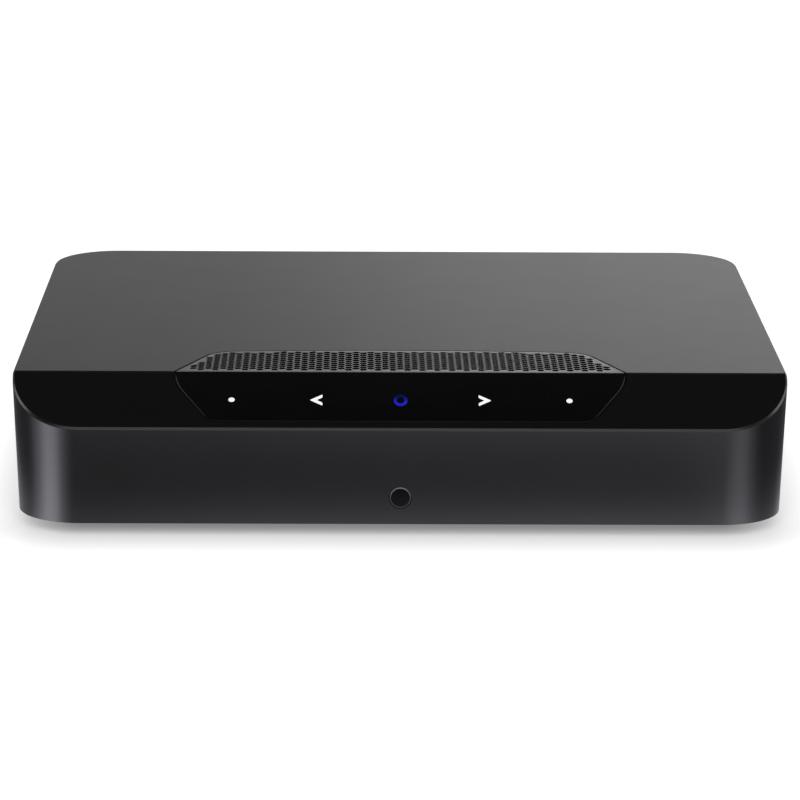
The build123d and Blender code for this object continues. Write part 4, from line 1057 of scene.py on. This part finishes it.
def add_glow(material, strength, tint=(1, 1, 1)):
    """Light given off, with its strength from a socket."""
    inputs = {"Color": (*tint, 1), "Strength": strength}
    return add_node(material, "ShaderNodeEmission", inputs).outputs["Emission"]


def mix_shaders(material, factor, first, second):
    """First shader where the factor is 0, second where it is 1."""
    inputs = {"Fac": factor, 1: first, 2: second}
    return add_node(material, "ShaderNodeMixShader", inputs).outputs["Shader"]


def outline_distance(material, place):
    """How far a floor point lies outside the shell's outline drawn in by the radius of its corners."""
    middle = (SHELL_LOW + SHELL_HIGH) / 2
    reach = (SHELL_HIGH - SHELL_LOW) / 2
    straight = (reach.x - SHADOW_CORNER, reach.y - SHADOW_CORNER, 0)
    place = add_vector_step(material, place, "SUBTRACT", (middle.x, middle.y, 0))
    place = add_vector_step(material, place, "ABSOLUTE")
    place = add_vector_step(material, place, "SUBTRACT", straight)
    place = add_vector_step(material, place, "MAXIMUM")
    return add_vector_step(material, place, "LENGTH")


def add_wedge(material, place, wedge):
    """Wedge of light on the floor that runs out from a corner and grows wider."""
    start, along, level = wedge
    across = (-along[1], along[0], 0)
    from_start = add_vector_step(material, place, "SUBTRACT", start)
    sideways = add_vector_step(material, from_start, "DOT_PRODUCT", across)
    onward = add_vector_step(material, from_start, "DOT_PRODUCT", along)
    half_width = add_range(material, onward, WEDGE_START, WEDGE_END, 0.0, WEDGE_LENGTH[-1][0])
    share = add_math(material, "DIVIDE", sideways, half_width)
    stripe = add_profile(material, share, WEDGE_SIDES)
    ends = add_profile(material, onward, WEDGE_LENGTH)
    return add_math(material, "MULTIPLY", add_math(material, "MULTIPLY", stripe, ends), level)


def floor_material(stage):
    """Pale floor. The camera sees its white with a contact shadow painted by distance from the shell's
    outline, and gloss sees grey bands.
    """
    material, output, place = empty_material("pale_floor")
    albedo = (stage.floor_albedo,) * 3 + (1,)
    soft = add_node(material, "ShaderNodeBsdfDiffuse", {"Color": albedo}).outputs["BSDF"]
    away = outline_distance(material, place)
    start, end = SHADOW_CORNER - stage.shadow_inside, SHADOW_CORNER + stage.shadow_outside
    # Painted contact shadow: the glow is dimmed under and near the shell's outline
    painted_contact_shadow = add_range(material, away, SHADOW_LEVEL * stage.floor_glow, stage.floor_glow, start, end)
    seen = add_node(material, "ShaderNodeAddShader", {0: soft, 1: add_glow(material, painted_contact_shadow)})
    depth = add_profile(material, add_axis(material, place, "Y"), FLOOR_BANDS_Y)
    side = add_profile(material, add_axis(material, place, "X"), FLOOR_BANDS_X)
    level = add_math(material, "MULTIPLY", depth, side)
    for wedge in WEDGES:
        level = add_math(material, "ADD", level, add_wedge(material, place, wedge))
    mirrored = add_glow(material, level, MIRRORED_TINT)
    rays = add_node(material, "ShaderNodeLightPath", {}).outputs
    whole = mix_shaders(material, rays["Is Glossy Ray"], seen.outputs["Shader"], mirrored)
    whole = mix_shaders(material, rays["Is Diffuse Ray"], whole, soft)
    set_inputs(material, output, {"Surface": whole})
    return material


def wall_material():
    """White backdrop for the camera. What gloss sees of it fades upwards, to the left and at the sides."""
    material, output, place = empty_material("pale_wall")
    upward = add_profile(material, add_axis(material, place, "Z"), WALL_BANDS_Z)
    sideways = add_profile(material, add_axis(material, place, "X"), WALL_BANDS_X)
    backward = add_profile(material, add_axis(material, place, "Y"), WALL_BANDS_Y)
    level = add_math(material, "MULTIPLY", add_math(material, "MULTIPLY", upward, sideways), backward)
    rays = add_node(material, "ShaderNodeLightPath", {}).outputs
    pick = add_node(material, "ShaderNodeMix", {"Factor": rays["Is Camera Ray"], "A": level, "B": 1.0})
    set_inputs(material, output, {"Surface": add_glow(material, pick.outputs["Result"])})
    return material


def stage_piece(name, bm, material):
    """New piece of the stage."""
    piece = new_piece(name, bm, material)
    return piece


def add_lamp(name, place, aim, size, power, mirrored):
    """Soft rectangular lamp that only gloss sees, if mirrored, or that only lights matt surfaces."""
    data = bpy.data.lights.new(name, "AREA")
    data.shape = "RECTANGLE"
    data.size, data.size_y = size
    data.energy = power
    lamp = bpy.data.objects.new(name, data)
    lamp.location = place
    lamp.rotation_mode = "QUATERNION"
    lamp.rotation_quaternion = (Vector(aim) - Vector(place)).to_track_quat("-Z", "Y")
    lamp.visible_camera = False
    lamp.visible_glossy = mirrored
    lamp.visible_diffuse = not mirrored
    bpy.context.scene.collection.objects.link(lamp)


def add_room():
    """World that is white for the camera and gives next to no light."""
    world = bpy.data.worlds.new("studio")
    world.use_nodes = True
    rays = add_node(world, "ShaderNodeLightPath", {}).outputs
    level = add_range(world, rays["Is Camera Ray"], ROOM_LEVEL, 1.0, 0.0, 1.0)
    set_inputs(world, world.node_tree.nodes["Background"], {"Color": (1, 1, 1, 1), "Strength": level})
    bpy.context.scene.world = world


def add_camera(lens):
    """Camera where the photograph was taken from, worked out from the object's edges."""
    data = bpy.data.cameras.new("camera")
    data.lens = lens
    data.sensor_width = SENSOR_WIDTH
    data.clip_end = VIEW_DEPTH
    camera = bpy.data.objects.new("camera", data)
    turn = Matrix.Rotation(CAMERA_YAW, 3, "Z")
    turn = turn @ Matrix.Rotation(CAMERA_PITCH, 3, "X") @ Matrix.Rotation(CAMERA_ROLL, 3, "Y")
    right, forward, up = turn.col[0], turn.col[1], turn.col[2]
    camera.rotation_mode = "QUATERNION"
    camera.rotation_quaternion = Matrix((right, up, -forward)).transposed().to_quaternion()
    camera.location = CAMERA_PLACE
    bpy.context.scene.collection.objects.link(camera)
    bpy.context.scene.camera = camera


class AMPLIFIER_OT_stage(bpy.types.Operator):
    """Floor, backdrop, lamps and camera"""

    bl_idname = "amplifier.stage"
    bl_label = "Stage"

    def execute(self, context):
        stage = context.scene.amplifier_stage
        context.scene.view_settings.view_transform = "Standard"
        radius, height = stage.wall_radius, stage.wall_height
        bm = bmesh.new()
        bmesh.ops.create_circle(bm, cap_ends=True, segments=ROUND_SEGMENTS, radius=radius)
        stage_piece("floor", bm, floor_material(stage))
        bm = bmesh.new()
        bmesh.ops.create_cone(bm, segments=ROUND_SEGMENTS, radius1=radius, radius2=radius, depth=height)
        bmesh.ops.translate(bm, verts=bm.verts, vec=(0, 0, height / 2))
        wall = stage_piece("backdrop", bm, wall_material())
        wall.visible_diffuse = False
        wall.visible_shadow = False
        for name, (place, aim, size, power, mirrored) in LAMPS.items():
            add_lamp(name, place, aim, size, getattr(stage, power), mirrored)
        add_room()
        add_camera(stage.lens)
        return {"FINISHED"}


OPERATORS = (
    AMPLIFIER_OT_stage,
    AMPLIFIER_OT_top_shell,
    AMPLIFIER_OT_inlay_frame,
    AMPLIFIER_OT_vent_grille,
    AMPLIFIER_OT_touch_panel,
    AMPLIFIER_OT_touch_icons,
    AMPLIFIER_OT_infrared_window,
    AMPLIFIER_OT_underside,
    AMPLIFIER_OT_rear_panel,
    AMPLIFIER_OT_sockets,
    AMPLIFIER_OT_speaker_posts,
    AMPLIFIER_OT_inner_parts,
)
SETTINGS = {
    "amplifier_sizes": AmplifierSizes,
    "amplifier_colours": AmplifierColours,
    "amplifier_stage": StageSettings,
}


class AMPLIFIER_PT_panel(bpy.types.Panel):
    """Sidebar with every step and size"""

    bl_idname = "AMPLIFIER_PT_panel"
    bl_label = "Streaming amplifier"
    bl_space_type = "VIEW_3D"
    bl_region_type = "UI"
    bl_category = "Amplifier"

    def draw(self, context):
        column = self.layout.column()
        for operator in OPERATORS:
            column.operator(operator.bl_idname, text=operator.bl_label)
        for settings in SETTINGS:
            group = getattr(context.scene, settings)
            box = self.layout.box()
            for name in group.__annotations__:
                box.prop(group, name)


CLASSES = (*SETTINGS.values(), *OPERATORS, AMPLIFIER_PT_panel)


def register():
    for cls in CLASSES:
        bpy.utils.register_class(cls)
    for name, group in SETTINGS.items():
        setattr(bpy.types.Scene, name, bpy.props.PointerProperty(type=group))


def unregister():
    for name in SETTINGS:
        delattr(bpy.types.Scene, name)
    for cls in reversed(CLASSES):
        bpy.utils.unregister_class(cls)


def main():
    """Builds everything in order."""
    register()
    for operator in OPERATORS:
        group, name = operator.bl_idname.split(".")
        getattr(getattr(bpy.ops, group), name)()


if __name__ == "__main__":
    main()
